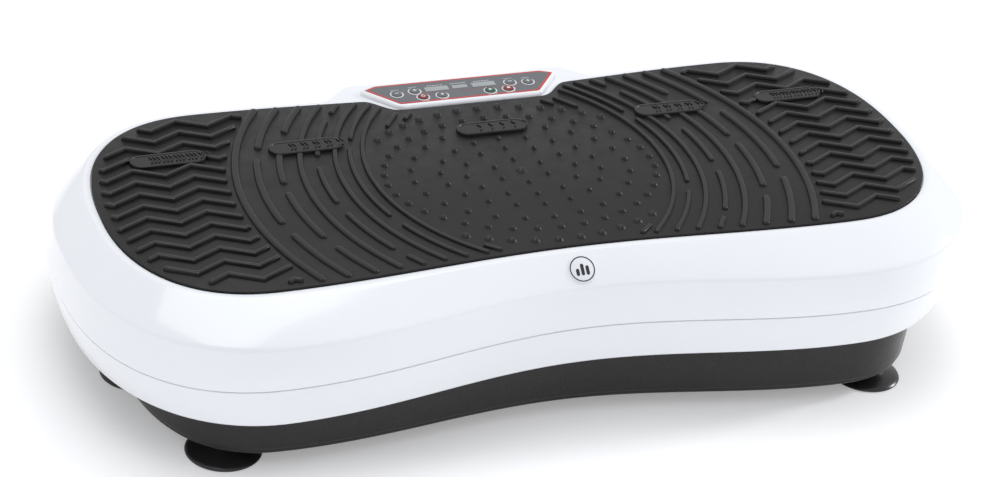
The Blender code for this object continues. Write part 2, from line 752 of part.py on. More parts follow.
def build_drive(deck):
    cast = (0.20, 0.21, 0.22)
    steel = (0.34, 0.35, 0.36)
    pin_x, pin_z = tilted(CRANK_ARM, LINK_PIN_Z)
    shaft_x = pin_x
    for name, y in (("pivot_bearing_front", -0.045), ("pivot_bearing_rear", 0.045)):
        bearing_block(name, 0.0, y, PIVOT_Z, 0.0150, 0.014, AXLE_R + RUNNING_GAP, deck, cast)
    for name, y in (("shaft_bearing_front", -0.040), ("shaft_bearing_rear", 0.040)):
        bearing_block(name, shaft_x, y, SHAFT_Z, 0.0130, 0.012, SHAFT_R + RUNNING_GAP, deck, cast)
    stations = (
        (-0.054, SHAFT_R, 0.0), (-0.0080, SHAFT_R, 0.0), (-0.0080, JOURNAL_R, ECCENTRICITY),
        (0.0080, JOURNAL_R, ECCENTRICITY), (0.0080, SHAFT_R, 0.0), (0.0820, SHAFT_R, 0.0),
    )
    rings = []
    for y, radius, lift in stations:
        rings.append([(px, y, pz) for px, pz in circle(radius, 32, (0.0, lift))])
    finish(loft(rings), "eccentric_shaft", steel, 0.25, 1.0, at=(shaft_x, 0.0, SHAFT_Z))
    build_pulley("driven_pulley", SHAFT_R + 0.0003, DRIVEN_GROOVE_R, shaft_x, SHAFT_Z)
    build_link(pin_x, pin_z, shaft_x)
    motor = [
        (0.0, -0.0600), (0.0120, -0.0600), (0.0140, -0.0560), (MOTOR_R - 0.003, -0.0550), (MOTOR_R, -0.0520),
        (MOTOR_R, 0.0420), (MOTOR_R - 0.003, 0.0450), (0.0120, 0.0460), (0.0100, 0.0500), (0.0044, 0.0500),
        (0.0044, 0.0200), (0.0, 0.0200),
    ]
    at = (MOTOR_X, 0.0, MOTOR_Z)
    finish(lathe(motor, 24, "Y"), "motor_body", (0.10, 0.10, 0.11), 0.4, 0.6, at=at)
    spindle = [(0.0, 0.0210), (0.0040, 0.0210), (0.0040, 0.0790), (0.0, 0.0790)]
    finish(lathe(spindle, 24, "Y"), "motor_spindle", steel, 0.25, 1.0, at=at)
    build_pulley("motor_pulley", 0.0043, MOTOR_GROOVE_R, MOTOR_X, MOTOR_Z)
    cradle = finish(
        block((0.060, 0.070, 0.026), (MOTOR_X, -0.004, deck + 0.013)), "motor_cradle", (0.25, 0.26, 0.27), 0.45, 0.9
    )
    trough = lathe([(0.0, -0.06), (MOTOR_R + 0.0006, -0.06), (MOTOR_R + 0.0006, 0.06), (0.0, 0.06)], 48, "Y")
    bmesh.ops.translate(trough, verts=trough.verts, vec=at)
    boolean(cradle, [trough])
    build_belt(shaft_x)
    board = block((0.090, 0.060, 0.0016), (0.0, 0.0, 0.0))
    finish(board, "power_board", (0.02, 0.15, 0.07), 0.5, at=(0.125, 0.010, deck + 0.0011))
    transformer = block((0.036, 0.030, 0.026), (0.0, 0.0, 0.0), 0.0015)
    finish(transformer, "power_transformer", (0.42, 0.33, 0.08), 0.5, at=(0.112, 0.018, deck + 0.0153))


def build_pulley(name, bore, groove, x, z):
    profile = [
        (bore, -0.0055), (groove + 0.002, -0.0055), (groove + 0.002, -0.0042), (groove, -0.0038),
        (groove, 0.0038), (groove + 0.002, 0.0042), (groove + 0.002, 0.0055), (bore, 0.0055),
    ]
    bm = lathe(profile, 28, "Y", closed=True)
    finish(bm, name, (0.30, 0.31, 0.32), 0.35, 0.9, at=(x, BELT_Y, z))


def build_belt(shaft_x):
    """Flat belt around both pulleys, drawn in its own X-Z plane."""
    gap_x = shaft_x - MOTOR_X
    gap_z = SHAFT_Z - MOTOR_Z
    span = math.hypot(gap_x, gap_z)
    lean = math.atan2(gap_z, gap_x)
    spread = math.acos((DRIVEN_GROOVE_R - MOTOR_GROOVE_R) / span)
    inner = []
    outer = []
    for centre, radius, start, stop in (
        ((gap_x, gap_z), DRIVEN_GROOVE_R, lean - math.pi + spread, lean + math.pi - spread),
        ((0.0, 0.0), MOTOR_GROOVE_R, lean + math.pi - spread, lean + math.pi + spread),
    ):
        for index in range(17):
            angle = start + (stop - start) * index / 16.0
            for ring, extra in ((inner, 0.0003), (outer, 0.0015)):
                ring.append((
                    centre[0] + (radius + extra) * math.cos(angle),
                    centre[1] + (radius + extra) * math.sin(angle),
                ))
    rings = [
        [(x, -0.0034, z) for x, z in outer], [(x, 0.0034, z) for x, z in outer],
        [(x, 0.0034, z) for x, z in inner], [(x, -0.0034, z) for x, z in inner],
    ]
    finish(loft(rings, closed=True), "drive_belt", (0.02, 0.02, 0.02), 0.8, at=(MOTOR_X, BELT_Y, MOTOR_Z))


def build_link(pin_x, pin_z, shaft_x):
    """Connecting link from the platform pin down to the eccentric journal."""
    reach_x = shaft_x - pin_x
    reach_z = SHAFT_Z + ECCENTRICITY - pin_z
    length = math.hypot(reach_x, reach_z)
    lean = math.atan2(reach_x, -reach_z)
    small_r, big_r = 0.0090, 0.0160
    count = 32
    outline_points = []
    for index in range(21):
        angle = math.pi * index / 20.0
        outline_points.append((small_r * math.cos(angle), small_r * math.sin(angle)))
    for index in range(25):
        angle = math.pi * 0.82 + math.pi * 1.36 * index / 24.0
        outline_points.append((big_r * math.cos(angle), -length + big_r * math.sin(angle)))
    bm = loft([
        [(x, -0.0065, z) for x, z in outline_points],
        [(x, 0.0065, z) for x, z in outline_points],
    ])
    link = finish(bm, "connecting_link", (0.36, 0.37, 0.38), 0.4, 0.9)
    small = lathe([(0.0, -0.02), (LINK_PIN_R + RUNNING_GAP, -0.02),
                   (LINK_PIN_R + RUNNING_GAP, 0.02), (0.0, 0.02)], count, "Y")
    big = lathe([(0.0, -0.02), (BIG_END_BORE_R, -0.02), (BIG_END_BORE_R, 0.02), (0.0, 0.02)], count, "Y")
    bmesh.ops.translate(big, verts=big.verts, vec=(0.0, 0.0, -length))
    boolean(link, [small, big])
    link.location = (pin_x, 0.0, pin_z)
    link.rotation_euler = Euler((0.0, -lean, 0.0))


def build_mains():
    """Mains inlet and rocker switch in the rear wall of the tray."""
    black = (0.02, 0.02, 0.02)
    wall_y = TRAY_BOTTOM[3]
    flange_low = wall_y + 0.0002
    inlet = finish(
        block((0.0290, 0.0200, 0.0216), (0.0, -0.0070, 0.0)), "mains_inlet", black, 0.35
    )
    boolean(inlet, [block((0.0360, 0.0020, 0.0260), (0.0, 0.0030, 0.0))], "UNION")
    boolean(inlet, [block((0.0240, 0.0160, 0.0165), (0.0, -0.0040, 0.0))])
    inlet.location = (-0.024, flange_low, 0.0300)
    contacts = finish(block((0.0180, 0.0016, 0.0100)), "inlet_contacts", (0.6, 0.56, 0.40), 0.3, 1.0)
    blades = [
        block((0.0020, 0.0095, 0.0040), (-0.0065, 0.0050, -0.0020)),
        block((0.0020, 0.0095, 0.0040), (0.0, 0.0050, 0.0020)),
        block((0.0020, 0.0095, 0.0040), (0.0065, 0.0050, -0.0020)),
    ]
    boolean(contacts, blades, "UNION")
    contacts.location = (-0.024, flange_low - 0.0108, 0.0300)
    frame = finish(
        block((0.0210, 0.0120, 0.0140), (0.0, -0.0030, 0.0)), "switch_frame", black, 0.35
    )
    boolean(frame, [block((0.0250, 0.0018, 0.0180), (0.0, 0.0030, 0.0))], "UNION")
    boolean(frame, [block((0.0184, 0.0200, 0.0114), (0.0, -0.0020, 0.0))])
    frame.location = (0.018, flange_low, 0.0300)
    rocker = [
        (-0.0080, -0.0030), (-0.0030, -0.0060), (0.0030, -0.0060), (0.0080, -0.0030),
        (0.0082, 0.0030), (0.0040, 0.0016), (0.0, 0.0012), (-0.0040, 0.0016), (-0.0082, 0.0030),
    ]
    bm = prism(rocker, -0.0052, 0.0052)
    made = finish(bm, "power_rocker", (0.35, 0.02, 0.02), 0.3, at=(0.018, flange_low + 0.0005, 0.0300))
    made.rotation_euler = Euler((0.0, 0.0, math.radians(-9.0)))


def build():
    clear_scene()
    tilt = tilting_empty()
    build_platform(tilt)
    build_base()
    bpy.context.view_layer.update()


build()
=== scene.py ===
"""Looks of the vibration plate: fine surfaces, materials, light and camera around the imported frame."""

import json
import math

import bmesh
import bpy
from mathutils import Matrix, Vector


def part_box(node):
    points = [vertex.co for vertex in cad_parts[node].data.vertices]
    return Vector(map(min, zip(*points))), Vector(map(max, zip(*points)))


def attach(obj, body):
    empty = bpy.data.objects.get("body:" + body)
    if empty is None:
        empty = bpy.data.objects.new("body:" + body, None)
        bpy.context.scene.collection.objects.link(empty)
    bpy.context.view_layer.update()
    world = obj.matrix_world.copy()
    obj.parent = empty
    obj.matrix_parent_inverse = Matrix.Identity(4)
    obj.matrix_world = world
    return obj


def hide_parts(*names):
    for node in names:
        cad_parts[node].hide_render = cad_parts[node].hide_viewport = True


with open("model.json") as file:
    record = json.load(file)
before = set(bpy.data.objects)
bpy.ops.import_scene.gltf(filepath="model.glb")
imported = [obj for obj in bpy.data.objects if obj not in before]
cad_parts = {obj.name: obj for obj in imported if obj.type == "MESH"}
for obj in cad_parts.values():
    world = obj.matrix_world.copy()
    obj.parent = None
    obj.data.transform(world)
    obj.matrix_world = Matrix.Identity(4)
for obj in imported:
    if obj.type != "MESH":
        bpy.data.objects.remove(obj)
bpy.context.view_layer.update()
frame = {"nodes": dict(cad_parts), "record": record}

# Platform frame: the shell is modelled level and then tilted about the rocking axle
PIVOT_Z = 0.085
REST_TILT = math.radians(-1.7)
UP = Matrix.Translation((0.0, 0.0, PIVOT_Z))
SHELL = UP @ Matrix.Rotation(REST_TILT, 4, "Y") @ UP.inverted()

# Heights of the shell
SKIRT_BOTTOM_Z = 0.0475
SKIRT_MIDDLE_Z = 0.0610
PARTING_Z = 0.0772
BELT_Z = 0.0900
CREASE_Z = 0.1105
RIM_Z = 0.1285
DECK_Z = 0.1265
MAT_TOP_Z = 0.1300
WALL = 0.003

# Outlines: half length, half depth at the lobes, front waist, back waist,
# distance of the lobes from the middle, corner squareness, bulge behind the panel,
# and how far the rear lobes are pulled in, which also eases their corners
REAR_EASING = 20.0
SKIRT_BOTTOM = (0.3255, 0.1570, 0.1330, 0.1495, 0.205, 2.16, 0.0000, 0.0000)
SKIRT_MIDDLE = (0.3302, 0.1590, 0.1343, 0.1515, 0.204, 2.24, 0.0000, 0.0000)
PARTING = (0.3318, 0.1600, 0.1352, 0.1534, 0.203, 2.34, 0.0010, 0.0000)
BELT = (0.3315, 0.1625, 0.1370, 0.1500, 0.202, 2.32, 0.0055, 0.0060)
CREASE = (0.3302, 0.1617, 0.1367, 0.1400, 0.200, 2.38, 0.0125, 0.0180)
RIM = (0.3065, 0.1265, 0.1160, 0.1195, 0.204, 2.34, 0.0215, 0.0000)
MAT = (0.3008, 0.1216, 0.1110, 0.1130, 0.204, 2.36, 0.0000, 0.0000)
TRAY_BOTTOM = (0.2945, 0.1480, 0.1272, 0.1420, 0.203, 2.60, 0.0000, 0.0000)
TRAY_TOP = (0.2965, 0.1500, 0.1284, 0.1440, 0.203, 2.60, 0.0000, 0.0000)
BULGE_START, BULGE_BLEND = 0.080, 0.030
SLOPE_CROWN = 0.0009
CORNER_STEPS = 34
WAIST_STEPS = 60
ROUND_STEPS = 6

# Notch of the mat around the control panel
NOTCH_Y = 0.0976
NOTCH_HALF = 0.0610
NOTCH_SLOPE = 1.19
NOTCH_SOFTNESS = 0.0030

# Base tray
TRAY_Z = 0.012
TRAY_FLOOR = 0.003
TRAY_WALL = 0.0028
TRAY_RIM_Z = 0.064
INLET_CUT = (0.0300, 0.0226)
SWITCH_CUT = (0.0220, 0.0150)
CUT_DEPTH = 0.030

# Control panel
PANEL_TIP = (0.0748, 0.1280)
PANEL_BACK = (0.0655, 0.1325)
PANEL_FRONT = (0.0545, 0.1022)
HOUSING_MARGIN = 0.0030
HOUSING_TOP_Z = 0.1320
FILM_TOP_Z = HOUSING_TOP_Z + 0.0002
BORDER_GAP = 0.0001
BORDER_INSET = 0.0017
INK = 0.00008
DIVIDER_Y = 0.1146
DIVIDER_DASHES = 25
DIVIDER_PITCH = 0.0037
CAP_RADIUS = 0.0040
CAP_FOOT = -0.0016
SYMBOL_FOOT = 0.0007
SYMBOL_TOP = 0.0010 + INK

# Relief of the mat. Ribs and zigzags are given for the right half and mirrored.
# RIB_APEX is each rib's greatest distance from the middle, and RIB_GAPS its breaks, as ranges of Y.
RELIEF_SINK = 0.0004
RIB_HEIGHT = 0.0019
RIB_APEX = (0.1080, 0.1178, 0.1290, 0.1420, 0.1552, 0.1703, 0.1870, 0.2030)
RIB_WIDTH = (0.0036, 0.0038, 0.0042, 0.0045, 0.0050, 0.0056, 0.0058, 0.0060)
RIB_RADIUS = 0.1540
RIB_RADIUS_GROWTH = 0.0760
RIB_CENTRE_Y = 0.0020
RIB_CENTRE_DROP = 0.0160
RIB_REACH = 0.1250
RIB_STEP = 0.001
RIB_KEEP_EVERY = 3
RIB_GAPS = {
    1: ((0.0480, 0.0592), (-0.0605, -0.0490)),
    3: ((0.0914, 0.1004), (0.0270, 0.0412), (-0.0387, -0.0251), (-0.0990, -0.0920)),
    5: ((0.0650, 0.0785), (-0.0026, 0.0090), (-0.0786, -0.0670)),
    6: ((0.0463, 0.0598), (-0.0567, -0.0432)),
}
SHORT_RIBS = (
    ((0.0625, 0.0905), (0.0737, 0.0750)),
    ((0.0520, 0.0890), (0.0575, 0.0830)),
    ((0.0600, -0.1000), (0.0520, -0.1070)),
)
ZIGZAG_ROWS = 16
ZIGZAG_TOP_Y = 0.1161
ZIGZAG_PITCH = 0.01606
ZIGZAG_HALF_WAVE = 0.0205
ZIGZAG_RISE = 0.0115
ZIGZAG_WIDTH = 0.0040
ZIGZAG_HEIGHT = 0.0025
ZIGZAG_DRIFT = 0.071
ZIGZAG_START = (0.2012, 0.100)
ZIGZAG_WAVES = 7
ZIGZAG_STEPS = 24
ZIGZAG_RIB_GAP = 0.0045
DOME_HEIGHT = 0.0024
DOME_CENTRE_Y = -0.0070
# Rings of domes: half length, half depth, number of domes, radius of a dome
DOME_RINGS = (
    (0.0000, 0.0000, 1, 0.0042),
    (0.0200, 0.0165, 6, 0.0022),
    (0.0410, 0.0335, 12, 0.0022),
    (0.0585, 0.0480, 18, 0.0023),
    (0.0795, 0.0660, 24, 0.0026),
    (0.0990, 0.0800, 36, 0.0030),
    (0.1165, 0.0955, 45, 0.0036),
)

# Raised pills of the mat: X, Y and the number of arrowheads in a group
BADGE_HALF = 0.0272
BADGE_R = 0.0085
BADGE_HEIGHT = 0.0025
BADGE_CLEARANCE = 0.0010
BADGES = (
    (-0.2400, 0.0575, 3),
    (-0.1408, 0.0560, 2),
    (0.0000, 0.0555, 1),
    (0.1408, 0.0560, 2),
    (0.2400, 0.0575, 3),
)

# Arrowheads on the pills. The first group stands one spacing left of the pill's middle,
# so the last one reaches past the pill's right end.
CHEVRON_GROUPS = 5
CHEVRON_SPACING = 0.0088
CHEVRON_STEP = 0.0026
CHEVRON_REACH = (0.0011, 0.0042)
CHEVRON_HALF_WIDTH = 0.0005

# Emblem on the front slope
EMBLEM_R = 0.0095
EMBLEM_TOP = 0.0011
EMBLEM_RING = (0.0090, 0.0082)
EMBLEM_BAR_WIDTH = 0.0024
EMBLEM_BAR_FOOT = -0.0046
EMBLEM_BARS = ((-0.0036, 0.0052), (0.0, 0.0084), (0.0036, 0.0068))

# Displays and buttons of the panel: each button's material and symbol
DISPLAYS = ("display_speed", "display_mode", "display_time")
BUTTON_LOOKS = {
    "button_preset_left": ("button_grey", "minus"),
    "button_preset_right": ("button_grey", "plus"),
    "button_power": ("button_red", "power"),
    "button_mode": ("button_grey", "dot"),
    "button_start": ("button_green", "arrow"),
    "button_stop": ("button_red", "square"),
    "button_speed_down": ("button_grey", "minus"),
    "button_speed_up": ("button_grey", "plus"),
}

# Rounded edges of the CAD nodes that keep their own mesh
EDGE_WIDTHS = {
    "mains_inlet": 0.0006, "switch_frame": 0.0005, "power_rocker": 0.0005, "power_transformer": 0.0006,
    "motor_cradle": 0.0008, "base_plate": 0.0004, "platform_plate": 0.0006, "control_board": 0.0002,
    "power_board": 0.0002, "inlet_contacts": 0.0002,
}

# Moulded and painted finishes: colour, deeper colour, roughness, grain, grain depth, coat, specular
MOULDED = {
    "white_shell": ((0.850, 0.868, 0.905), (0.838, 0.857, 0.896), 0.16, 500.0, 0.000012, 0.60, 0.50),
    "badge_silver": ((0.800, 0.820, 0.865), (0.770, 0.790, 0.840), 0.22, 900.0, 0.00003, 0.50, 0.50),
    "badge_ink": ((0.016, 0.016, 0.022), (0.026, 0.026, 0.034), 0.35, 900.0, 0.00003, 0.0, 0.50),
    "panel_red": ((0.56, 0.050, 0.045), (0.50, 0.040, 0.038), 0.35, 900.0, 0.00003, 0.0, 0.50),
    "panel_ink": ((0.74, 0.75, 0.76), (0.66, 0.67, 0.68), 0.40, 900.0, 0.00003, 0.0, 0.50),
    "tray_black": ((0.0105, 0.0094, 0.0090), (0.0080, 0.0072, 0.0069), 0.26, 1200.0, 0.00004, 0.0, 0.36),
    "foot_rubber": ((0.010, 0.010, 0.011), (0.014, 0.014, 0.015), 0.24, 700.0, 0.00002, 0.0, 0.50),
    "motor_paint": ((0.075, 0.078, 0.085), (0.055, 0.058, 0.064), 0.38, 500.0, 0.00006, 0.0, 0.50),
    "belt_rubber": ((0.020, 0.020, 0.020), (0.030, 0.029, 0.028), 0.75, 900.0, 0.00008, 0.0, 0.50),
    "inlet_black": ((0.018, 0.018, 0.019), (0.025, 0.025, 0.026), 0.42, 1300.0, 0.00006, 0.0, 0.50),
    "rocker_red": ((0.36, 0.020, 0.018), (0.30, 0.016, 0.015), 0.22, 900.0, 0.00003, 0.40, 0.50),
    "button_grey": ((0.125, 0.134, 0.146), (0.105, 0.114, 0.126), 0.40, 900.0, 0.00003, 0.0, 0.50),
    "button_red": ((0.20, 0.024, 0.022), (0.17, 0.020, 0.019), 0.38, 900.0, 0.00003, 0.0, 0.50),
    "button_green": ((0.020, 0.085, 0.062), (0.016, 0.070, 0.050), 0.38, 900.0, 0.00003, 0.0, 0.50),
}

# Metals: colour, deeper colour, roughness, stretch of the drawn marks
DRAWN_ALONG_X = (8.0, 260.0, 260.0)
DRAWN_ALONG_Y = (260.0, 8.0, 260.0)
METALS = {
    "steel": ((0.46, 0.47, 0.48), (0.34, 0.35, 0.36), 0.34, DRAWN_ALONG_X),
    "contact_brass": ((0.72, 0.58, 0.30), (0.60, 0.46, 0.22), 0.28, DRAWN_ALONG_X),
    "pulley_metal": ((0.62, 0.63, 0.64), (0.50, 0.51, 0.52), 0.30, DRAWN_ALONG_Y),
    "zinc_fastener": ((0.60, 0.60, 0.58), (0.48, 0.48, 0.47), 0.30, DRAWN_ALONG_X),
}

# Stage: half size of the floor, light of the world, and area lights (place, size, power)
FLOOR_SIZE = 6.0
WORLD_COLOUR = (0.97, 0.98, 1.0, 1.0)
WORLD_STRENGTH = 0.76
LIGHT_TARGET = (0.0, 0.0, 0.1)
LIGHTS = {
    "key_right": ((2.25, -0.02, 1.15), (0.35, 0.45), 18.0),
    "top_soft": ((-0.3, 0.4, 2.4), (2.0, 1.6), 17.0),
}

# Camera
CAMERA_PLACE = (-0.6292, -1.4346, 0.9746)
CAMERA_YAW = math.radians(23.40)
CAMERA_DOWN = math.radians(30.05)
CAMERA_ROLL = math.radians(6.866)
CAMERA_LENS = 90.0
CAMERA_SENSOR = 36.0


# ------------------------------------------------------------------ outlines and meshes


def smooth_step(value):
    value = min(max(value, 0.0), 1.0)
    return value * value * (3.0 - 2.0 * value)


def mix(first, second, share):
    return tuple(a + (b - a) * share for a, b in zip(first, second))


def outline(shape, inset=0.0):
    """Closed waisted outline, counter-clockwise from the right end."""
    half_x, half_y, front, back, lobe_x, power, bulge, rear = shape
    half_x -= inset
    half_y -= inset
    front -= inset
    back -= inset
    rear_y = half_y - rear
    backs = []
    fronts = []
    for points, depth, squareness in ((fronts, half_y, power), (backs, rear_y, power - REAR_EASING * rear)):
        for step in range(CORNER_STEPS + 1):
            angle = 0.5 * math.pi * step / CORNER_STEPS
            x = lobe_x + (half_x - lobe_x) * math.cos(angle) ** (2.0 / squareness)
            points.append((x, depth * math.sin(angle) ** (2.0 / squareness)))
    for step in range(1, WAIST_STEPS + 1):
        part = 1.0 - step / WAIST_STEPS
        x = lobe_x * part
        blend = (1.0 - math.cos(math.pi * part)) / 2.0
        lift = bulge * (1.0 - smooth_step((x - BULGE_START) / BULGE_BLEND))
        backs.append((x, back + (rear_y - back) * blend + lift))
        fronts.append((x, front + (half_y - front) * blend))
    points = list(backs)
    points += [(-x, y) for x, y in reversed(backs[:-1])]
    points += [(-x, -y) for x, y in fronts[1:]]
    points += [(x, -y) for x, y in reversed(fronts[1:-1])]
    return points


def soft_max(first, second, softness):
    peak = max(first, second)
    total = math.exp((first - peak) / softness) + math.exp((second - peak) / softness)
    return peak + softness * math.log(total)


def mat_edge():
    """Edge of the mat, drawn in round the control panel."""
    points = []
    for x, y in outline(MAT):
        if y > 0.0 and abs(x) < 0.15:
            rise = soft_max(0.0, (abs(x) - NOTCH_HALF) * NOTCH_SLOPE, NOTCH_SOFTNESS)
            y = -soft_max(-y, -NOTCH_Y - rise, NOTCH_SOFTNESS * 0.6)
        points.append((x, y))
    return points


def offset(points, distance):
    """Closed outline moved outwards by a distance, point by point."""
    moved = []
    count = len(points)
    for index, (x, y) in enumerate(points):
        ax, ay = points[index - 1]
        bx, by = points[(index + 1) % count]
        along = Vector((bx - ax, by - ay)).normalized()
        moved.append((x + along.y * distance, y - along.x * distance))
    return moved


def at_height(points, z):
    return [(x, y, z) for x, y in points]


def profile(keys):
    """Numbers along a section, each inner key rounded over shares of its two neighbours."""
    made = [keys[0][0]]
    for index in range(1, len(keys) - 1):
        here, before, after = keys[index]
        if before == 0.0 and after == 0.0:
            made.append(here)
            continue
        start = mix(here, keys[index - 1][0], before)
        stop = mix(here, keys[index + 1][0], after)
        for step in range(ROUND_STEPS + 1):
            share = step / ROUND_STEPS
            made.append(mix(mix(start, here, share), mix(here, stop, share), share))
    made.append(keys[-1][0])
    return made


def rings_of(keys):
    """Rings of a wall whose keys are (outline numbers, inset, height)."""
    rings = []
    for numbers in profile([((*shape, inset, z), a, b) for shape, inset, z, a, b in keys]):
        rings.append(at_height(outline(numbers[:8], numbers[8]), numbers[9]))
    return rings


def skin(bm, rings, closed=False):
    """Quads through a row of equal-length rings, capped at both ends or closed to a loop."""
    rows = [[bm.verts.new(point) for point in ring] for ring in rings]
    pairs = list(zip(rows[:-1], rows[1:]))
    if closed:
        pairs.append((rows[-1], rows[0]))
    for low, high in pairs:
        count = len(low)
        for index in range(count):
            after = (index + 1) % count
            bm.faces.new((low[index], low[after], high[after], high[index]))
    if not closed:
        bm.faces.new(list(reversed(rows[0])))
        bm.faces.new(rows[-1])


def piece(name, bm, material, body, replaced=(), place=None, sharp=35.0):
    """Named piece in the row frame, riding on a body and standing for CAD nodes."""
    bmesh.ops.recalc_face_normals(bm, faces=bm.faces)
    mesh = bpy.data.meshes.new(name)
    bm.to_mesh(mesh)
    bm.free()
    mesh.materials.append(material)
    mesh.shade_smooth()
    mesh.set_sharp_from_angle(angle=math.radians(sharp))
    made = bpy.data.objects.new(name, mesh)
    bpy.context.scene.collection.objects.link(made)
    if place is not None:
        made.matrix_world = place
    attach(made, body)
    if replaced:
        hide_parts(*replaced)
    return made


def lathe(bm, section, steps, place=None):
    """Turn a (radius, height) section about Z; a zero radius closes to a pole."""
    rows = []
    for radius, height in section:
        if radius == 0.0:
            rows.append([bm.verts.new((0.0, 0.0, height))])
            continue
        row = []
        for index in range(steps):
            angle = 2.0 * math.pi * index / steps
            row.append(bm.verts.new((radius * math.cos(angle), radius * math.sin(angle), height)))
        rows.append(row)
    for low, high in zip(rows[:-1], rows[1:]):
        for index in range(steps):
            after = (index + 1) % steps
            if len(low) == 1:
                bm.faces.new((low[0], high[after], high[index]))
            elif len(high) == 1:
                bm.faces.new((low[index], low[after], high[0]))
            else:
                bm.faces.new((low[index], low[after], high[after], high[index]))
    if place is not None:
        bmesh.ops.transform(bm, matrix=place, verts=[vert for row in rows for vert in row])


def turned(keys):
    """Section of a turned piece with rounded corners."""
    return profile([((radius, height), a, b) for radius, height, a, b in keys])


def rounded_polygon(corners, radius, steps):
    """Polygon with each corner cut back by a length and rounded."""
    points = []
    for index, corner in enumerate(corners):
        here = Vector(corner)
        before = Vector(corners[index - 1])
        after = Vector(corners[(index + 1) % len(corners)])
        start = here + (before - here).normalized() * radius
        stop = here + (after - here).normalized() * radius
        for step in range(steps + 1):
            share = step / steps
            point = start.lerp(here, share).lerp(here.lerp(stop, share), share)
            points.append((point.x, point.y))
    return points


def grown_panel(margin):
    """Six-sided panel outline grown by a margin, counter-clockwise."""
    corners = [
        PANEL_TIP, PANEL_BACK, (-PANEL_BACK[0], PANEL_BACK[1]),
        (-PANEL_TIP[0], PANEL_TIP[1]), (-PANEL_FRONT[0], PANEL_FRONT[1]), PANEL_FRONT,
    ]
    grown = []
    for index, corner in enumerate(corners):
        here = Vector(corner)
        first = (here - Vector(corners[index - 1])).normalized()
        second = (Vector(corners[(index + 1) % 6]) - here).normalized()
        normal = Vector((first.y, -first.x))
        middle = (normal + Vector((second.y, -second.x))).normalized()
        point = here + middle * (margin / middle.dot(normal))
        grown.append((point.x, point.y))
    return grown


def inside(points, x, y):
    """Even-odd test of a point against a closed outline."""
    hit = False
    for index, (ax, ay) in enumerate(points):
        bx, by = points[index - 1]
        if (ay > y) != (by > y) and x < (bx - ax) * (y - ay) / (by - ay) + ax:
            hit = not hit
    return hit


# ------------------------------------------------------------------ materials


class Nodes:
    """Small helper that builds one material's node tree."""

    def __init__(self, name):
        self.material = bpy.data.materials.new(name)
        self.material.use_nodes = True
        self.tree = self.material.node_tree
        self.shader = self.tree.nodes["Principled BSDF"]
        self.place = self.tree.nodes.new("ShaderNodeTexCoord").outputs["Object"]

    def add(self, kind, **values):
        node = self.tree.nodes.new(kind)
        for key, value in values.items():
            setattr(node, key, value)
        return node

    def link(self, source, target):
        self.tree.links.new(source, target)

    def set(self, **values):
        for key, value in values.items():
            self.shader.inputs[key.replace("_", " ")].default_value = value

    def stretched(self, scale):
        node = self.add("ShaderNodeMapping")
        node.inputs["Scale"].default_value = scale
        self.link(self.place, node.inputs["Vector"])
        return node.outputs["Vector"]

    def noise(self, scale, detail=4.0, source=None):
        node = self.add("ShaderNodeTexNoise")
        node.inputs["Scale"].default_value = scale
        node.inputs["Detail"].default_value = detail
        self.link(source or self.place, node.inputs["Vector"])
        return node.outputs["Fac"]

    def cells(self, scale):
        node = self.add("ShaderNodeTexVoronoi")
        node.inputs["Scale"].default_value = scale
        self.link(self.place, node.inputs["Vector"])
        return node.outputs["Distance"]

    def ranged(self, source, low, high, start=0.3, stop=0.7):
        node = self.add("ShaderNodeMapRange")
        node.inputs["From Min"].default_value = start
        node.inputs["From Max"].default_value = stop
        node.inputs["To Min"].default_value = low
        node.inputs["To Max"].default_value = high
        self.link(source, node.inputs["Value"])
        return node.outputs["Result"]

    def blend(self, factor, first, second):
        node = self.add("ShaderNodeMix", data_type="RGBA")
        for socket, value in ((node.inputs[6], first), (node.inputs[7], second)):
            if isinstance(value, tuple):
                socket.default_value = (*value, 1.0)
            else:
                self.link(value, socket)
        self.link(factor, node.inputs[0])
        return node.outputs[2]

    def bump(self, source, distance, strength=1.0, normal=None):
        node = self.add("ShaderNodeBump")
        node.inputs["Distance"].default_value = distance
        node.inputs["Strength"].default_value = strength
        self.link(source, node.inputs["Height"])
        if normal is not None:
            self.link(normal, node.inputs["Normal"])
        return node.outputs["Normal"]

    def finish(self, colour, roughness, normal=None):
        for source, target in ((colour, "Base Color"), (roughness, "Roughness"), (normal, "Normal")):
            if source is not None:
                self.link(source, self.shader.inputs[target])
        return self.material


def moulded(name, colour, deep, roughness, grain, depth, coat, specular):
    """Moulded plastic or paint: faint mottling, uneven gloss and a fine grain."""
    made = Nodes(name)
    patches = made.noise(14.0, 3.0)
    fine = made.noise(grain, 2.0)
    tone = made.blend(made.ranged(patches, 0.0, 1.0), colour, deep)
    gloss = made.ranged(made.noise(60.0, 4.0), roughness * 0.85, roughness * 1.2)
    made.set(Coat_Weight=coat, Coat_Roughness=0.06, Specular_IOR_Level=specular)
    return made.finish(tone, gloss, made.bump(fine, depth, 0.6))


def metal(name, colour, deep, roughness, drawn):
    """Machined or rolled metal with drawn marks."""
    made = Nodes(name)
    streaks = made.noise(6.0, 6.0, made.stretched(drawn))
    tone = made.blend(made.ranged(made.noise(30.0, 3.0), 0.0, 1.0), colour, deep)
    gloss = made.ranged(streaks, roughness * 0.75, roughness * 1.35)
    made.set(Metallic=1.0)
    return made.finish(tone, gloss, made.bump(streaks, 0.00002, 0.5))


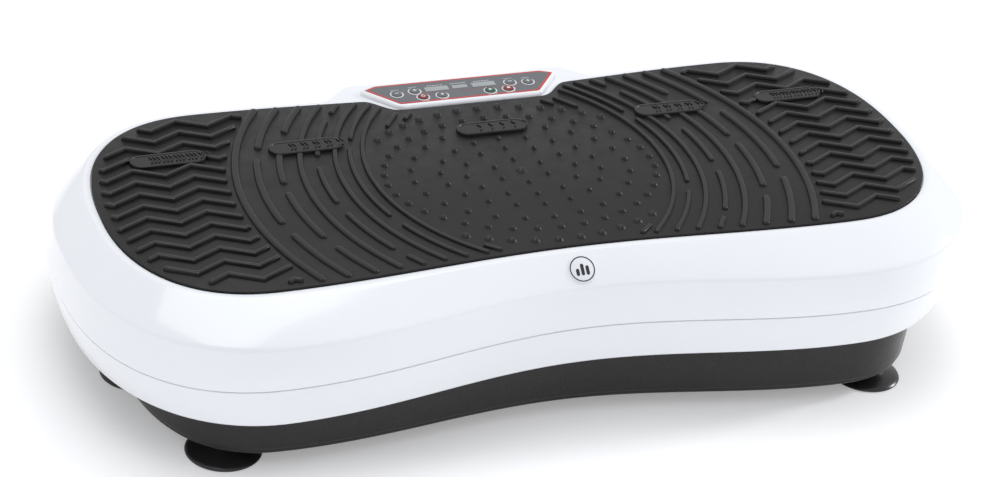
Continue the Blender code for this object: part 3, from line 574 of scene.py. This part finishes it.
def mat_rubber():
    """Charcoal moulded rubber, dusty in the low places and rubbed on the raised ones."""
    made = Nodes("mat_rubber")
    split = made.add("ShaderNodeSeparateXYZ")
    made.link(made.place, split.inputs["Vector"])
    height = made.ranged(split.outputs["Z"], 0.0, 1.0, MAT_TOP_Z + 0.0002, MAT_TOP_Z + ZIGZAG_HEIGHT)
    patches = made.ranged(made.noise(22.0, 5.0), 0.0, 1.0)
    low = made.blend(patches, (0.0088, 0.0080, 0.0078), (0.0060, 0.0057, 0.0056))
    tone = made.blend(height, low, (0.0112, 0.0106, 0.0104))
    grain = made.noise(1500.0, 2.0)
    pebble = made.cells(900.0)
    soft = made.bump(pebble, 0.00006, 0.35)
    dull = made.ranged(made.noise(90.0, 5.0), 0.40, 0.52)
    rubbed = made.add("ShaderNodeMath", operation="MULTIPLY_ADD")
    made.link(height, rubbed.inputs[0])
    rubbed.inputs[1].default_value = -0.22
    made.link(dull, rubbed.inputs[2])
    gloss = rubbed.outputs[0]
    made.set(Specular_IOR_Level=0.36)
    return made.finish(tone, gloss, made.bump(grain, 0.00005, 0.5, soft))


def printed_film():
    """Satin printed polyester with a faint weave of the print."""
    made = Nodes("panel_film")
    fine = made.noise(2500.0, 2.0)
    patches = made.ranged(made.noise(120.0, 3.0), 0.0, 1.0)
    tone = made.blend(patches, (0.112, 0.121, 0.134), (0.100, 0.109, 0.121))
    made.set(Coat_Weight=0.25, Coat_Roughness=0.3)
    return made.finish(tone, made.ranged(fine, 0.30, 0.42), made.bump(fine, 0.00001, 0.5))


def window_film():
    """Pale display window, hazy with the cells switched off."""
    made = Nodes("display_window")
    haze = made.noise(60.0, 2.0)
    tone = made.blend(made.ranged(haze, 0.0, 1.0), (0.30, 0.33, 0.34), (0.33, 0.36, 0.37))
    made.set(Coat_Weight=0.6, Coat_Roughness=0.05)
    return made.finish(tone, made.ranged(made.noise(300.0), 0.18, 0.28))


def circuit_laminate():
    """Green solder mask with darker tracks and pads."""
    made = Nodes("circuit_board")
    tracks = made.cells(160.0)
    copper = made.ranged(tracks, 0.0, 1.0, 0.25, 0.35)
    tone = made.blend(copper, (0.012, 0.105, 0.045), (0.020, 0.190, 0.085))
    gloss = made.ranged(made.noise(200.0), 0.25, 0.45)
    return made.finish(tone, gloss, made.bump(tracks, 0.00008, 0.5))


def tape_wrap():
    """Yellow tape wound over the laminations of a transformer."""
    made = Nodes("transformer_wrap")
    turns = made.add("ShaderNodeTexWave", bands_direction="Z")
    turns.inputs["Scale"].default_value = 90.0
    turns.inputs["Distortion"].default_value = 1.5
    made.link(made.place, turns.inputs["Vector"])
    layers = turns.outputs["Fac"]
    tone = made.blend(layers, (0.50, 0.37, 0.06), (0.36, 0.26, 0.04))
    gloss = made.ranged(made.noise(90.0), 0.30, 0.50)
    return made.finish(tone, gloss, made.bump(layers, 0.0001, 0.5))


def cast_metal():
    """Rough cast surface with a sandy skin."""
    made = Nodes("cast_bearing")
    sand = made.noise(700.0, 4.0)
    patches = made.ranged(made.noise(45.0), 0.0, 1.0)
    tone = made.blend(patches, (0.20, 0.21, 0.22), (0.12, 0.125, 0.13))
    made.set(Metallic=0.9)
    return made.finish(tone, made.ranged(sand, 0.45, 0.70), made.bump(sand, 0.00025, 0.8))


def floor_material():
    """Near-white floor that also glows a little, so that it reads as a white backdrop."""
    made = Nodes("studio_floor")
    patches = made.ranged(made.noise(1.2, 3.0), 0.0, 1.0)
    tone = made.blend(patches, (0.86, 0.86, 0.87), (0.84, 0.84, 0.85))
    made.set(Emission_Strength=0.25)
    made.shader.inputs["Emission Color"].default_value = (1.0, 1.0, 1.0, 1.0)
    return made.finish(tone, made.ranged(made.noise(30.0), 0.75, 0.85))


def all_materials():
    """Every material, under the name of its slot."""
    made = {name: moulded(name, *numbers) for name, numbers in MOULDED.items()}
    made.update({name: metal(name, *numbers) for name, numbers in METALS.items()})
    made["mat_rubber"] = mat_rubber()
    made["panel_film"] = printed_film()
    made["display_window"] = window_film()
    made["circuit_board"] = circuit_laminate()
    made["transformer_wrap"] = tape_wrap()
    made["cast_bearing"] = cast_metal()
    return made


# ------------------------------------------------------------------ shell


def slope_level(share, out):
    """Outline and height part of the way up the slope from the crease to the rim."""
    numbers = mix((*CREASE, CREASE_Z), (*RIM, RIM_Z), share)
    return numbers[:8], -out, numbers[8] + out * 0.6


def build_top_cover(paint):
    crown, crown_inset, crown_z = slope_level(0.5, SLOPE_CROWN)
    outer = rings_of([
        (PARTING, WALL, PARTING_Z + 0.0003, 0.0, 0.0),
        (PARTING, 0.0, PARTING_Z + 0.0002, 0.20, 0.06),
        (BELT, 0.0, BELT_Z, 0.5, 0.5),
        (CREASE, 0.0, CREASE_Z, 0.15, 0.14),
        (crown, crown_inset, crown_z, 0.5, 0.5),
        (RIM, -0.0006, RIM_Z, 0.22, 0.5),
        (RIM, 0.0020, RIM_Z, 0.0, 0.0),
    ])
    pocket = offset(mat_edge(), 0.0006)
    lip = [
        at_height(offset(pocket, 0.0007), RIM_Z),
        at_height(offset(pocket, 0.0002), RIM_Z - 0.0002),
        at_height(pocket, RIM_Z - 0.0007),
        at_height(pocket, DECK_Z),
    ]
    inner = rings_of([
        (RIM, 0.0060, DECK_Z - WALL, 0.0, 0.0),
        (CREASE, WALL + 0.0008, CREASE_Z - 0.002, 0.3, 0.3),
        (BELT, WALL, BELT_Z, 0.5, 0.5),
        (PARTING, WALL + 0.0002, PARTING_Z + 0.0003, 0.0, 0.0),
    ])
    bm = bmesh.new()
    skin(bm, inner + outer + lip)
    white = paint["white_shell"]
    piece("top_cover_skin", bm, white, "platform", ["top_cover"], SHELL, 40.0)


def build_lower_skirt(paint):
    rings = rings_of([
        (SKIRT_BOTTOM, 0.0028, SKIRT_BOTTOM_Z + 0.0006, 0.0, 0.0),
        (SKIRT_BOTTOM, 0.0014, SKIRT_BOTTOM_Z, 0.4, 0.5),
        (SKIRT_BOTTOM, 0.0, SKIRT_BOTTOM_Z + 0.0012, 0.5, 0.15),
        (SKIRT_MIDDLE, 0.0, SKIRT_MIDDLE_Z, 0.6, 0.6),
        (PARTING, 0.0003, PARTING_Z - 0.0006, 0.04, 0.3),
        (PARTING, 0.0016, PARTING_Z - 0.0003, 0.4, 0.5),
        (PARTING, 0.0030, PARTING_Z - 0.0003, 0.0, 0.0),
        (SKIRT_MIDDLE, 0.0030, SKIRT_MIDDLE_Z, 0.3, 0.3),
    ])
    bm = bmesh.new()
    skin(bm, rings, closed=True)
    white = paint["white_shell"]
    piece("lower_skirt_skin", bm, white, "platform", ["lower_skirt"], SHELL, 40.0)


# ------------------------------------------------------------------ mat


def cushion_height(radius):
    """Height share of a moulded rib or dome at a distance from its middle, 0 to 1."""
    return 1.0 - max(0.0, (min(radius, 1.0) - 0.55) / 0.45) ** 2.2


def ridge(bm, line, half, height):
    """Moulded rib along a polyline: rounded shoulders and round ends."""
    across = (1.0, 0.94, 0.84, 0.7, 0.5, 0.0, -0.5, -0.7, -0.84, -0.94, -1.0)
    ends = [math.radians(degrees) for degrees in (86.0, 62.0, 40.0, 20.0)]
    stations = []
    first = (Vector(line[0]) - Vector(line[1])).normalized()
    last = (Vector(line[-1]) - Vector(line[-2])).normalized()
    for angle in ends:
        stations.append((Vector(line[0]) + first * half * math.sin(angle), -first, angle))
    for index, point in enumerate(line):
        before = Vector(line[max(index - 1, 0)])
        after = Vector(line[min(index + 1, len(line) - 1)])
        here = Vector(point)
        incoming = (here - before).normalized() if index else (after - here).normalized()
        outgoing = (after - here).normalized() if index < len(line) - 1 else incoming
        along = (incoming + outgoing).normalized()
        stations.append((here, along / max(along.dot(incoming), 0.5), 0.0))
    for angle in reversed(ends):
        stations.append((Vector(line[-1]) + last * half * math.sin(angle), last, angle))
    rings = []
    for centre, along, angle in stations:
        side = Vector((-along.y, along.x)) * half * math.cos(angle)
        section = []
        for share in across:
            radius = math.hypot(math.sin(angle), math.cos(angle) * share)
            point = centre + side * share
            section.append((point.x, point.y, MAT_TOP_Z + height * cushion_height(radius)))
        for share in (-1.0, 1.0):
            point = centre + side * share
            section.append((point.x, point.y, MAT_TOP_Z - RELIEF_SINK))
        rings.append(section)
    skin(bm, rings)


def dome(bm, x, y, radius, height):
    """Small rounded stud of the mat."""
    section = [(0.0, MAT_TOP_Z - RELIEF_SINK), (radius, MAT_TOP_Z - RELIEF_SINK)]
    for share in (1.0, 0.92, 0.8, 0.64, 0.44, 0.22):
        section.append((radius * share, MAT_TOP_Z + height * (1.0 - share ** 1.7)))
    section.append((0.0, MAT_TOP_Z + height))
    lathe(bm, section, 16, Matrix.Translation((x, y, 0.0)))


def rib_x(index, y):
    """Distance of a curved rib from the middle of the mat at a given Y."""
    share = index / (len(RIB_APEX) - 1)
    radius = RIB_RADIUS + RIB_RADIUS_GROWTH * share
    middle = RIB_CENTRE_Y - RIB_CENTRE_DROP * share
    return RIB_APEX[index] - radius + math.sqrt(radius * radius - (y - middle) ** 2)


def runs_of(points, keeps):
    """Unbroken stretches of a finely stepped line that pass a test."""
    runs = []
    run = []
    for point in points + [None]:
        if point is not None and keeps(point):
            run.append(point)
            continue
        if len(run) > 3:
            runs.append(run)
        run = []
    return runs


def thinned(points, every):
    """Every few points of a line, with its last one kept."""
    kept = points[::every]
    if (len(points) - 1) % every:
        kept.append(points[-1])
    return kept


def without_repeats(points):
    """Line without the points that repeat the one before."""
    return [point for index, point in enumerate(points) if index == 0 or point != points[index - 1]]


def rib_lines(index, limit):
    """Stretches of one curved rib between its gaps, inside the edge of the mat."""
    gaps = RIB_GAPS.get(index, ())
    half = RIB_WIDTH[index] / 2.0
    points = []
    for step in range(round(2.0 * RIB_REACH / RIB_STEP) + 1):
        y = RIB_REACH - RIB_STEP * step
        points.append((rib_x(index, y), y))

    def keeps(point):
        if any(low - half < point[1] < high + half for low, high in gaps):
            return False
        return inside(limit, *point)

    return [thinned(run, RIB_KEEP_EVERY) for run in runs_of(points, keeps)]


def clear_of_badges(x, y, margin):
    """Whether a point keeps a margin from every pill of the mat."""
    for badge_x, badge_y, _ in BADGES:
        reach = max(abs(x - badge_x) - (BADGE_HALF - BADGE_R), 0.0)
        if math.hypot(reach, y - badge_y) < BADGE_R + margin:
            return False
    return True


def zigzag_lines(row, limit):
    """Stretches of one zigzag row between the outermost rib, the pills and the edge of the mat."""
    base = ZIGZAG_TOP_Y - ZIGZAG_PITCH * row
    start = ZIGZAG_START[0] + (ZIGZAG_START[1] - base) * ZIGZAG_DRIFT - 2.0 * ZIGZAG_HALF_WAVE
    outermost = len(RIB_WIDTH) - 1
    points = []
    for wave in range(ZIGZAG_WAVES):
        for step in range(ZIGZAG_STEPS):
            share = step / ZIGZAG_STEPS
            rise = share if wave % 2 == 0 else 1.0 - share
            points.append((start + (wave + share) * ZIGZAG_HALF_WAVE, base + rise * ZIGZAG_RISE))

    def keeps(point):
        x, y = point
        if not inside(limit, x, y) or not clear_of_badges(x, y, BADGE_CLEARANCE):
            return False
        return x > rib_x(outermost, y) + RIB_WIDTH[outermost] / 2.0 + ZIGZAG_RIB_GAP

    lines = []
    for run in runs_of(points, keeps):
        if len(run) < 7:
            continue
        line = [run[0]]
        for index in range(1, len(run) - 1):
            before = run[index][1] - run[index - 1][1]
            after = run[index + 1][1] - run[index][1]
            if before * after < 0.0:
                line += [run[index - 1], run[index], run[index + 1]]
        line.append(run[-1])
        lines.append(without_repeats(line))
    return lines


def pill(half, radius, steps=10):
    """Outline with two straight sides and round ends."""
    points = []
    for side, centre in ((1.0, half - radius), (-1.0, radius - half)):
        for index in range(steps + 1):
            angle = math.pi * (index / steps - 0.5)
            points.append((centre + side * radius * math.cos(angle), side * radius * math.sin(angle)))
    return points


def add_badge(bm, x, y):
    """Raised pill with a sunk field inside its lip."""
    top = MAT_TOP_Z + BADGE_HEIGHT
    section = (
        (0.0, MAT_TOP_Z - RELIEF_SINK), (0.0, top - 0.0005), (0.00018, top - 0.00015),
        (0.0006, top), (0.0016, top), (0.0019, top - 0.00035),
    )
    rings = []
    for inset, z in section:
        shape = pill(BADGE_HALF - inset, BADGE_R - inset)
        rings.append([(x + px, y + py, z) for px, py in shape])
    skin(bm, rings)


def add_chevrons(bm, x, y, count):
    """Raised arrowheads on a pill, in groups of a given count."""
    top = MAT_TOP_Z + BADGE_HEIGHT
    reach_x, reach_y = CHEVRON_REACH
    for group in range(CHEVRON_GROUPS):
        for index in range(count):
            middle = x + (group - 1) * CHEVRON_SPACING + (index - (count - 1) / 2.0) * CHEVRON_STEP
            arms = [(middle - reach_x, y + reach_y), (middle + reach_x, y), (middle - reach_x, y - reach_y)]
            outer = [(px + CHEVRON_HALF_WIDTH, py) for px, py in arms]
            inner = [(px - CHEVRON_HALF_WIDTH, py) for px, py in arms]
            shape = outer + inner[::-1]
            skin(bm, [at_height(shape, top - 0.0006), at_height(shape, top + 0.00035)])


def build_mat(paint):
    edge = mat_edge()
    bm = bmesh.new()
    skin(bm, [
        at_height(offset(edge, -0.0002), DECK_Z + 0.0003),
        at_height(edge, DECK_Z + 0.0006),
        at_height(edge, MAT_TOP_Z - 0.0008),
        at_height(offset(edge, -0.0002), MAT_TOP_Z - 0.0003),
        at_height(offset(edge, -0.0009), MAT_TOP_Z),
    ])
    rib_limit = offset(edge, -0.0045)
    row_limit = offset(edge, -0.0062)
    dome_limit = offset(edge, -0.0070)
    lines = []
    for index, width in enumerate(RIB_WIDTH):
        lines += [(line, width / 2.0, RIB_HEIGHT) for line in rib_lines(index, rib_limit)]
    lines += [(line, RIB_WIDTH[0] / 2.0, RIB_HEIGHT) for line in SHORT_RIBS]
    for row in range(ZIGZAG_ROWS):
        lines += [(line, ZIGZAG_WIDTH / 2.0, ZIGZAG_HEIGHT) for line in zigzag_lines(row, row_limit)]
    for line, half, height in lines:
        for side in (1.0, -1.0):
            ridge(bm, [(side * x, y) for x, y in line], half, height)
    for reach_x, reach_y, count, radius in DOME_RINGS:
        for index in range(count):
            angle = math.pi / 2.0 + 2.0 * math.pi * index / count
            x = reach_x * math.cos(angle)
            y = DOME_CENTRE_Y + reach_y * math.sin(angle)
            clear = rib_x(0, y) - RIB_WIDTH[0] / 2.0 - radius - 0.0008
            if abs(x) < clear and inside(dome_limit, x, y) and clear_of_badges(x, y, radius):
                dome(bm, x, y, radius, DOME_HEIGHT)
    for x, y, _ in BADGES:
        add_badge(bm, x, y)
    for x, y, count in BADGES:
        add_chevrons(bm, x, y, count)
    rubber = paint["mat_rubber"]
    piece("rubber_mat_moulded", bm, rubber, "platform", ["rubber_mat"], SHELL, 38.0)


# ------------------------------------------------------------------ badge and panel


def disc(bm, radius, low, high, steps, soft):
    """Round plate with a softened upper edge."""
    section = [(0.0, low), (radius, low), (radius, high - soft), (radius - soft * 0.3, high - soft * 0.3)]
    section += [(radius - soft, high), (0.0, high)]
    lathe(bm, section, steps)


def ring(bm, outer, inner, low, high, x=0.0, y=0.0, steps=40):
    """Flat ring of square section."""
    rings = []
    for radius, z in ((outer, low), (outer, high), (inner, high), (inner, low)):
        angles = [2.0 * math.pi * index / steps for index in range(steps)]
        rings.append([(x + radius * math.cos(a), y + radius * math.sin(a), z) for a in angles])
    skin(bm, rings, closed=True)


def bar(bm, x, y, length, width, low, high, turn=0.0):
    """Flat stroke with round ends."""
    shape = []
    for px, py in pill(length / 2.0, width / 2.0, 5):
        shape.append((
            x + px * math.cos(turn) - py * math.sin(turn),
            y + px * math.sin(turn) + py * math.cos(turn),
        ))
    skin(bm, [at_height(shape, low), at_height(shape, high)])


def build_front_badge(paint):
    """Emblem in the middle of the front slope, standing square to it."""
    foot = Vector((0.0, -CREASE[2], CREASE_Z))
    head = Vector((0.0, -RIM[2], RIM_Z))
    slope = (head - foot).normalized()
    normal = Vector((0.0, -slope.z, slope.y))
    crown, crown_inset, crown_z = slope_level(0.5, SLOPE_CROWN)
    centre = Vector((0.0, -crown[2] + crown_inset, crown_z)) - normal * 0.0004
    turn = Matrix.Rotation(math.atan2(-normal.y, normal.z), 4, "X")
    place = SHELL @ Matrix.Translation(centre) @ turn
    bm = bmesh.new()
    disc(bm, EMBLEM_R, -0.0004, EMBLEM_TOP, 72, 0.0004)
    piece("front_badge_disc", bm, paint["badge_silver"], "platform", ["front_badge"], place)
    marks = bmesh.new()
    low = EMBLEM_TOP - 0.0001
    high = EMBLEM_TOP + INK
    ring(marks, *EMBLEM_RING, low, high, steps=72)
    for x, length in EMBLEM_BARS:
        y = EMBLEM_BAR_FOOT + length / 2.0
        bar(marks, x, y, length, EMBLEM_BAR_WIDTH, low, high, math.pi / 2.0)
    piece("front_badge_marks", marks, paint["badge_ink"], "platform", place=place)


def shell_centre(node):
    """Middle of a CAD node in the platform's own frame."""
    low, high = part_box(node)
    return SHELL.inverted() @ ((low + high) / 2.0)


def build_panel_surround(paint):
    """White raised frame of the panel, rounded over from its foot to the opening."""
    outer = rounded_polygon(grown_panel(HOUSING_MARGIN + 0.0004), 0.0060, 10)
    inner = rounded_polygon(grown_panel(BORDER_GAP), 0.0012, 10)
    section = (
        (0.0, DECK_Z + 0.0004), (0.0, HOUSING_TOP_Z - 0.0036), (0.06, HOUSING_TOP_Z - 0.0020),
        (0.25, HOUSING_TOP_Z - 0.0009), (0.55, HOUSING_TOP_Z - 0.0002), (0.88, HOUSING_TOP_Z),
        (0.98, HOUSING_TOP_Z), (1.0, HOUSING_TOP_Z - 0.0004), (1.0, DECK_Z + 0.0004),
    )
    rings = []
    for share, z in section:
        rings.append([(*mix(a, b, share), z) for a, b in zip(outer, inner)])
    bm = bmesh.new()
    skin(bm, rings, closed=True)
    piece("panel_surround", bm, paint["white_shell"], "platform", ["panel_housing"], SHELL)


def build_panel_border(paint):
    """Red edge line of the panel and the dashes between its two rows of buttons."""
    outer = rounded_polygon(grown_panel(-BORDER_GAP), 0.0010, 4)
    inner = rounded_polygon(grown_panel(-BORDER_INSET), 0.0006, 4)
    bm = bmesh.new()
    skin(bm, [
        at_height(outer, FILM_TOP_Z - 0.0010), at_height(outer, FILM_TOP_Z),
        at_height(inner, FILM_TOP_Z), at_height(inner, FILM_TOP_Z - 0.0010),
    ], closed=True)
    for index in range(DIVIDER_DASHES):
        x = (index - (DIVIDER_DASHES - 1) / 2.0) * DIVIDER_PITCH
        bar(bm, x, DIVIDER_Y, 0.0022, 0.00045, FILM_TOP_Z - 0.0002, FILM_TOP_Z + INK * 0.5)
    piece("panel_border_print", bm, paint["panel_red"], "platform", ["panel_border"], SHELL)


def build_panel(paint):
    build_panel_surround(paint)
    build_panel_border(paint)
    film = rounded_polygon(grown_panel(-BORDER_INSET), 0.0006, 4)
    bm = bmesh.new()
    skin(bm, [at_height(film, FILM_TOP_Z - 0.0008), at_height(film, FILM_TOP_Z)])
    piece("control_film", bm, paint["panel_film"], "platform", ["control_overlay"], SHELL)
    build_panel_print_and_rim_highlight(paint)
    build_buttons(paint)
    build_displays(paint)


def build_panel_print_and_rim_highlight(paint):
    """Pale rings round the buttons, a painted highlight of the lit rim of each domed cap, and short plain
    strokes where a panel has captions.
    """
    bm = bmesh.new()
    low = FILM_TOP_Z - 0.0002
    high = FILM_TOP_Z + INK
    for node in BUTTON_LOOKS:
        centre = shell_centre(node)
        # painted highlight: a pale ring round each button, set a little towards the front, stands for the lit
        # rim of its domed cap
        ring(bm, 0.0052, 0.0042, low, high, centre.x, centre.y - 0.0003)
        toward = -1.0 if centre.y < DIVIDER_Y else 1.0
        for index in range(4):
            x = centre.x + (index - 1.5) * 0.0017
            bar(bm, x, centre.y + toward * 0.0062, 0.0012, 0.00055, low, high)
    for node in DISPLAYS:
        centre = shell_centre(node)
        for index in range(6):
            x = centre.x + (index - 2.5) * 0.0021
            bar(bm, x, centre.y + 0.0053, 0.0016, 0.0007, low, high)
    piece("panel_print_and_rim_highlight", bm, paint["panel_ink"], "platform", place=SHELL)


def add_symbol(bm, kind, low, high):
    """Plain control symbol on a button cap."""
    if kind in ("minus", "plus"):
        bar(bm, 0.0, 0.0, 0.0034, 0.0007, low, high)
    if kind == "plus":
        bar(bm, 0.0, 0.0, 0.0034, 0.0007, low, high + 0.00002, math.pi / 2.0)
    if kind == "power":
        ring(bm, 0.0017, 0.0012, low, high, steps=24)
        bar(bm, 0.0, 0.0014, 0.0022, 0.0006, low, high + 0.00002, math.pi / 2.0)
    if kind == "dot":
        disc(bm, 0.0011, low, high, 20, 0.00005)
    if kind == "arrow":
        shape = [(0.0017, 0.0), (-0.0011, 0.0016), (-0.0011, -0.0016)]
        skin(bm, [at_height(shape, low), at_height(shape, high)])
    if kind == "square":
        shape = [(0.0012, -0.0012), (0.0012, 0.0012), (-0.0012, 0.0012), (-0.0012, -0.0012)]
        skin(bm, [at_height(shape, low), at_height(shape, high)])


def build_buttons(paint):
    """Dished cap and symbol of every button, each riding on its own body."""
    cap = turned([
        (0.0, CAP_FOOT, 0.0, 0.0), (CAP_RADIUS, CAP_FOOT, 0.0, 0.0), (CAP_RADIUS, 0.0007, 0.2, 0.2),
        (0.0026, 0.0010, 0.4, 0.3), (0.0, 0.0009, 0.0, 0.0),
    ])
    for node, (slot, symbol) in BUTTON_LOOKS.items():
        centre = shell_centre(node)
        place = SHELL @ Matrix.Translation((centre.x, centre.y, FILM_TOP_Z))
        bm = bmesh.new()
        lathe(bm, cap, 36)
        piece(node + "_cap", bm, paint[slot], node, [node], place)
        marks = bmesh.new()
        add_symbol(marks, symbol, SYMBOL_FOOT, SYMBOL_TOP)
        piece(node + "_symbol", marks, paint["panel_ink"], node, place=place)


def build_displays(paint):
    """Small raised window over each display."""
    for node in DISPLAYS:
        low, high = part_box(node)
        centre = shell_centre(node)
        half_x = (high.x - low.x) / 2.0
        half_y = (high.y - low.y) / 2.0
        corners = [(half_x, -half_y), (half_x, half_y), (-half_x, half_y), (-half_x, -half_y)]
        shape = rounded_polygon(corners, 0.0007, 4)
        rings = []
        for inset, z in ((0.0, -0.0004), (0.0, 0.0002), (0.0002, 0.00035), (0.0006, 0.0004)):
            rings.append(at_height(offset(shape, -inset), z))
        bm = bmesh.new()
        skin(bm, rings)
        place = SHELL @ Matrix.Translation((centre.x, centre.y, FILM_TOP_Z))
        window = paint["display_window"]
        piece(node + "_window", bm, window, "platform", [node], place)


# ------------------------------------------------------------------ base


def wall_cut(tray, node, size):
    """Rectangular opening through the rear wall behind a CAD node."""
    low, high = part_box(node)
    bm = bmesh.new()
    bmesh.ops.create_cube(bm, size=1.0)
    centre = (low + high) / 2.0
    bmesh.ops.scale(bm, verts=bm.verts, vec=(size[0], CUT_DEPTH, size[1]))
    bmesh.ops.translate(bm, verts=bm.verts, vec=(centre.x, centre.y, centre.z))
    mesh = bpy.data.meshes.new("cut")
    bm.to_mesh(mesh)
    bm.free()
    cutter = bpy.data.objects.new("cut", mesh)
    bpy.context.scene.collection.objects.link(cutter)
    made = tray.modifiers.new("opening", "BOOLEAN")
    made.solver = "EXACT"
    made.object = cutter
    bpy.context.view_layer.update()
    graph = bpy.context.evaluated_depsgraph_get()
    result = bpy.data.meshes.new_from_object(tray.evaluated_get(graph))
    tray.modifiers.clear()
    tray.data = result
    bpy.data.objects.remove(cutter, do_unlink=True)


def build_tray(paint):
    rings = rings_of([
        (TRAY_TOP, TRAY_WALL + 0.003, TRAY_Z + TRAY_FLOOR, 0.0, 0.0),
        (TRAY_TOP, TRAY_WALL, TRAY_Z + TRAY_FLOOR + 0.003, 0.3, 0.1),
        (TRAY_TOP, TRAY_WALL, TRAY_RIM_Z, 0.0, 0.0),
        (TRAY_TOP, 0.0, TRAY_RIM_Z, 0.3, 0.02),
        (TRAY_BOTTOM, 0.0, TRAY_Z + 0.0050, 0.02, 0.3),
        (TRAY_BOTTOM, 0.0012, TRAY_Z + 0.0044, 0.3, 0.2),
        (TRAY_BOTTOM, 0.0014, TRAY_Z + 0.0012, 0.2, 0.5),
        (TRAY_BOTTOM, 0.003, TRAY_Z, 0.0, 0.0),
    ])
    bm = bmesh.new()
    skin(bm, rings)
    black = paint["tray_black"]
    tray = piece("base_tray_moulded", bm, black, "base", ["base_tray"], None, 40.0)
    wall_cut(tray, "mains_inlet", INLET_CUT)
    wall_cut(tray, "switch_frame", SWITCH_CUT)


def build_feet(paint):
    section = turned([
        (0.0, 0.0042, 0.0, 0.0), (0.0170, 0.0026, 0.3, 0.3), (0.0215, 0.0, 0.2, 0.2), (0.0255, 0.0, 0.3, 0.5),
        (0.0264, 0.0009, 0.5, 0.4), (0.0240, 0.0026, 0.4, 0.3), (0.0145, 0.0062, 0.35, 0.4),
        (0.0110, 0.0088, 0.4, 0.3), (0.0110, TRAY_Z - 0.0006, 0.2, 0.4), (0.0104, TRAY_Z - 0.0001, 0.0, 0.0),
        (0.0, TRAY_Z - 0.0001, 0.0, 0.0),
    ])
    names = ["suction_foot_front_left", "suction_foot_front_right", "suction_foot_rear_left"]
    names += ["suction_foot_rear_right", "end_foot_left", "end_foot_right"]
    for node in names:
        low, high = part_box(node)
        place = Matrix.Translation(((low.x + high.x) / 2.0, (low.y + high.y) / 2.0, 0.0))
        bm = bmesh.new()
        lathe(bm, section, 64)
        piece(node + "_cup", bm, paint["foot_rubber"], "base", [node], place, 50.0)


def soften(node, width):
    """Small rounded edges on a CAD node, which keeps its own mesh."""
    made = node.modifiers.new("weld", "WELD")
    made.merge_threshold = 0.00001
    made = node.modifiers.new("edges", "BEVEL")
    made.width = width
    made.segments = 2
    made.limit_method = "ANGLE"
    made.angle_limit = math.radians(50.0)


def dress_cad_nodes(paint):
    """Procedural finish for every CAD node that stays, from its own material slot."""
    slots = {row["node"]: row["material_slot"] for row in frame["record"]["subparts"]}
    for name, node in frame["nodes"].items():
        node.data.materials.clear()
        node.data.materials.append(paint[slots[name]])
        if not node.hide_render and name in EDGE_WIDTHS:
            soften(node, EDGE_WIDTHS[name])


# ------------------------------------------------------------------ stage, light, camera


def build_floor():
    bm = bmesh.new()
    bmesh.ops.create_grid(bm, x_segments=8, y_segments=8, size=FLOOR_SIZE)
    mesh = bpy.data.meshes.new("studio_floor")
    bm.to_mesh(mesh)
    bm.free()
    mesh.materials.append(floor_material())
    made = bpy.data.objects.new("studio_floor", mesh)
    bpy.context.scene.collection.objects.link(made)


def area_light(name, place, size, power):
    light = bpy.data.lights.new(name, "AREA")
    light.shape = "RECTANGLE"
    light.size, light.size_y = size
    light.energy = power
    made = bpy.data.objects.new(name, light)
    made.location = place
    aim = Vector(LIGHT_TARGET) - Vector(place)
    made.rotation_mode = "QUATERNION"
    made.rotation_quaternion = aim.to_track_quat("-Z", "Y")
    bpy.context.scene.collection.objects.link(made)


def build_lights():
    world = bpy.data.worlds.new("studio")
    world.use_nodes = True
    back = world.node_tree.nodes["Background"]
    back.inputs["Color"].default_value = WORLD_COLOUR
    back.inputs["Strength"].default_value = WORLD_STRENGTH
    bpy.context.scene.world = world
    for name, (place, size, power) in LIGHTS.items():
        area_light(name, place, size, power)
    bpy.context.scene.view_settings.view_transform = "Standard"


def build_camera():
    flat = Vector((math.sin(CAMERA_YAW), math.cos(CAMERA_YAW), 0.0))
    forward = flat * math.cos(CAMERA_DOWN) - Vector((0.0, 0.0, math.sin(CAMERA_DOWN)))
    right = Vector((math.cos(CAMERA_YAW), -math.sin(CAMERA_YAW), 0.0))
    up = right.cross(forward)
    rolled_right = right * math.cos(CAMERA_ROLL) + up * math.sin(CAMERA_ROLL)
    rolled_up = up * math.cos(CAMERA_ROLL) - right * math.sin(CAMERA_ROLL)
    turn = Matrix((rolled_right, rolled_up, -forward)).transposed().to_4x4()
    data = bpy.data.cameras.new("camera")
    data.lens = CAMERA_LENS
    data.sensor_width = CAMERA_SENSOR
    made = bpy.data.objects.new("camera", data)
    made.matrix_world = Matrix.Translation(CAMERA_PLACE) @ turn
    bpy.context.scene.collection.objects.link(made)
    bpy.context.scene.camera = made


paint = all_materials()
build_top_cover(paint)
build_lower_skirt(paint)
build_mat(paint)
build_front_badge(paint)
build_panel(paint)
build_tray(paint)
build_feet(paint)
dress_cad_nodes(paint)
build_floor()
build_lights()
build_camera()
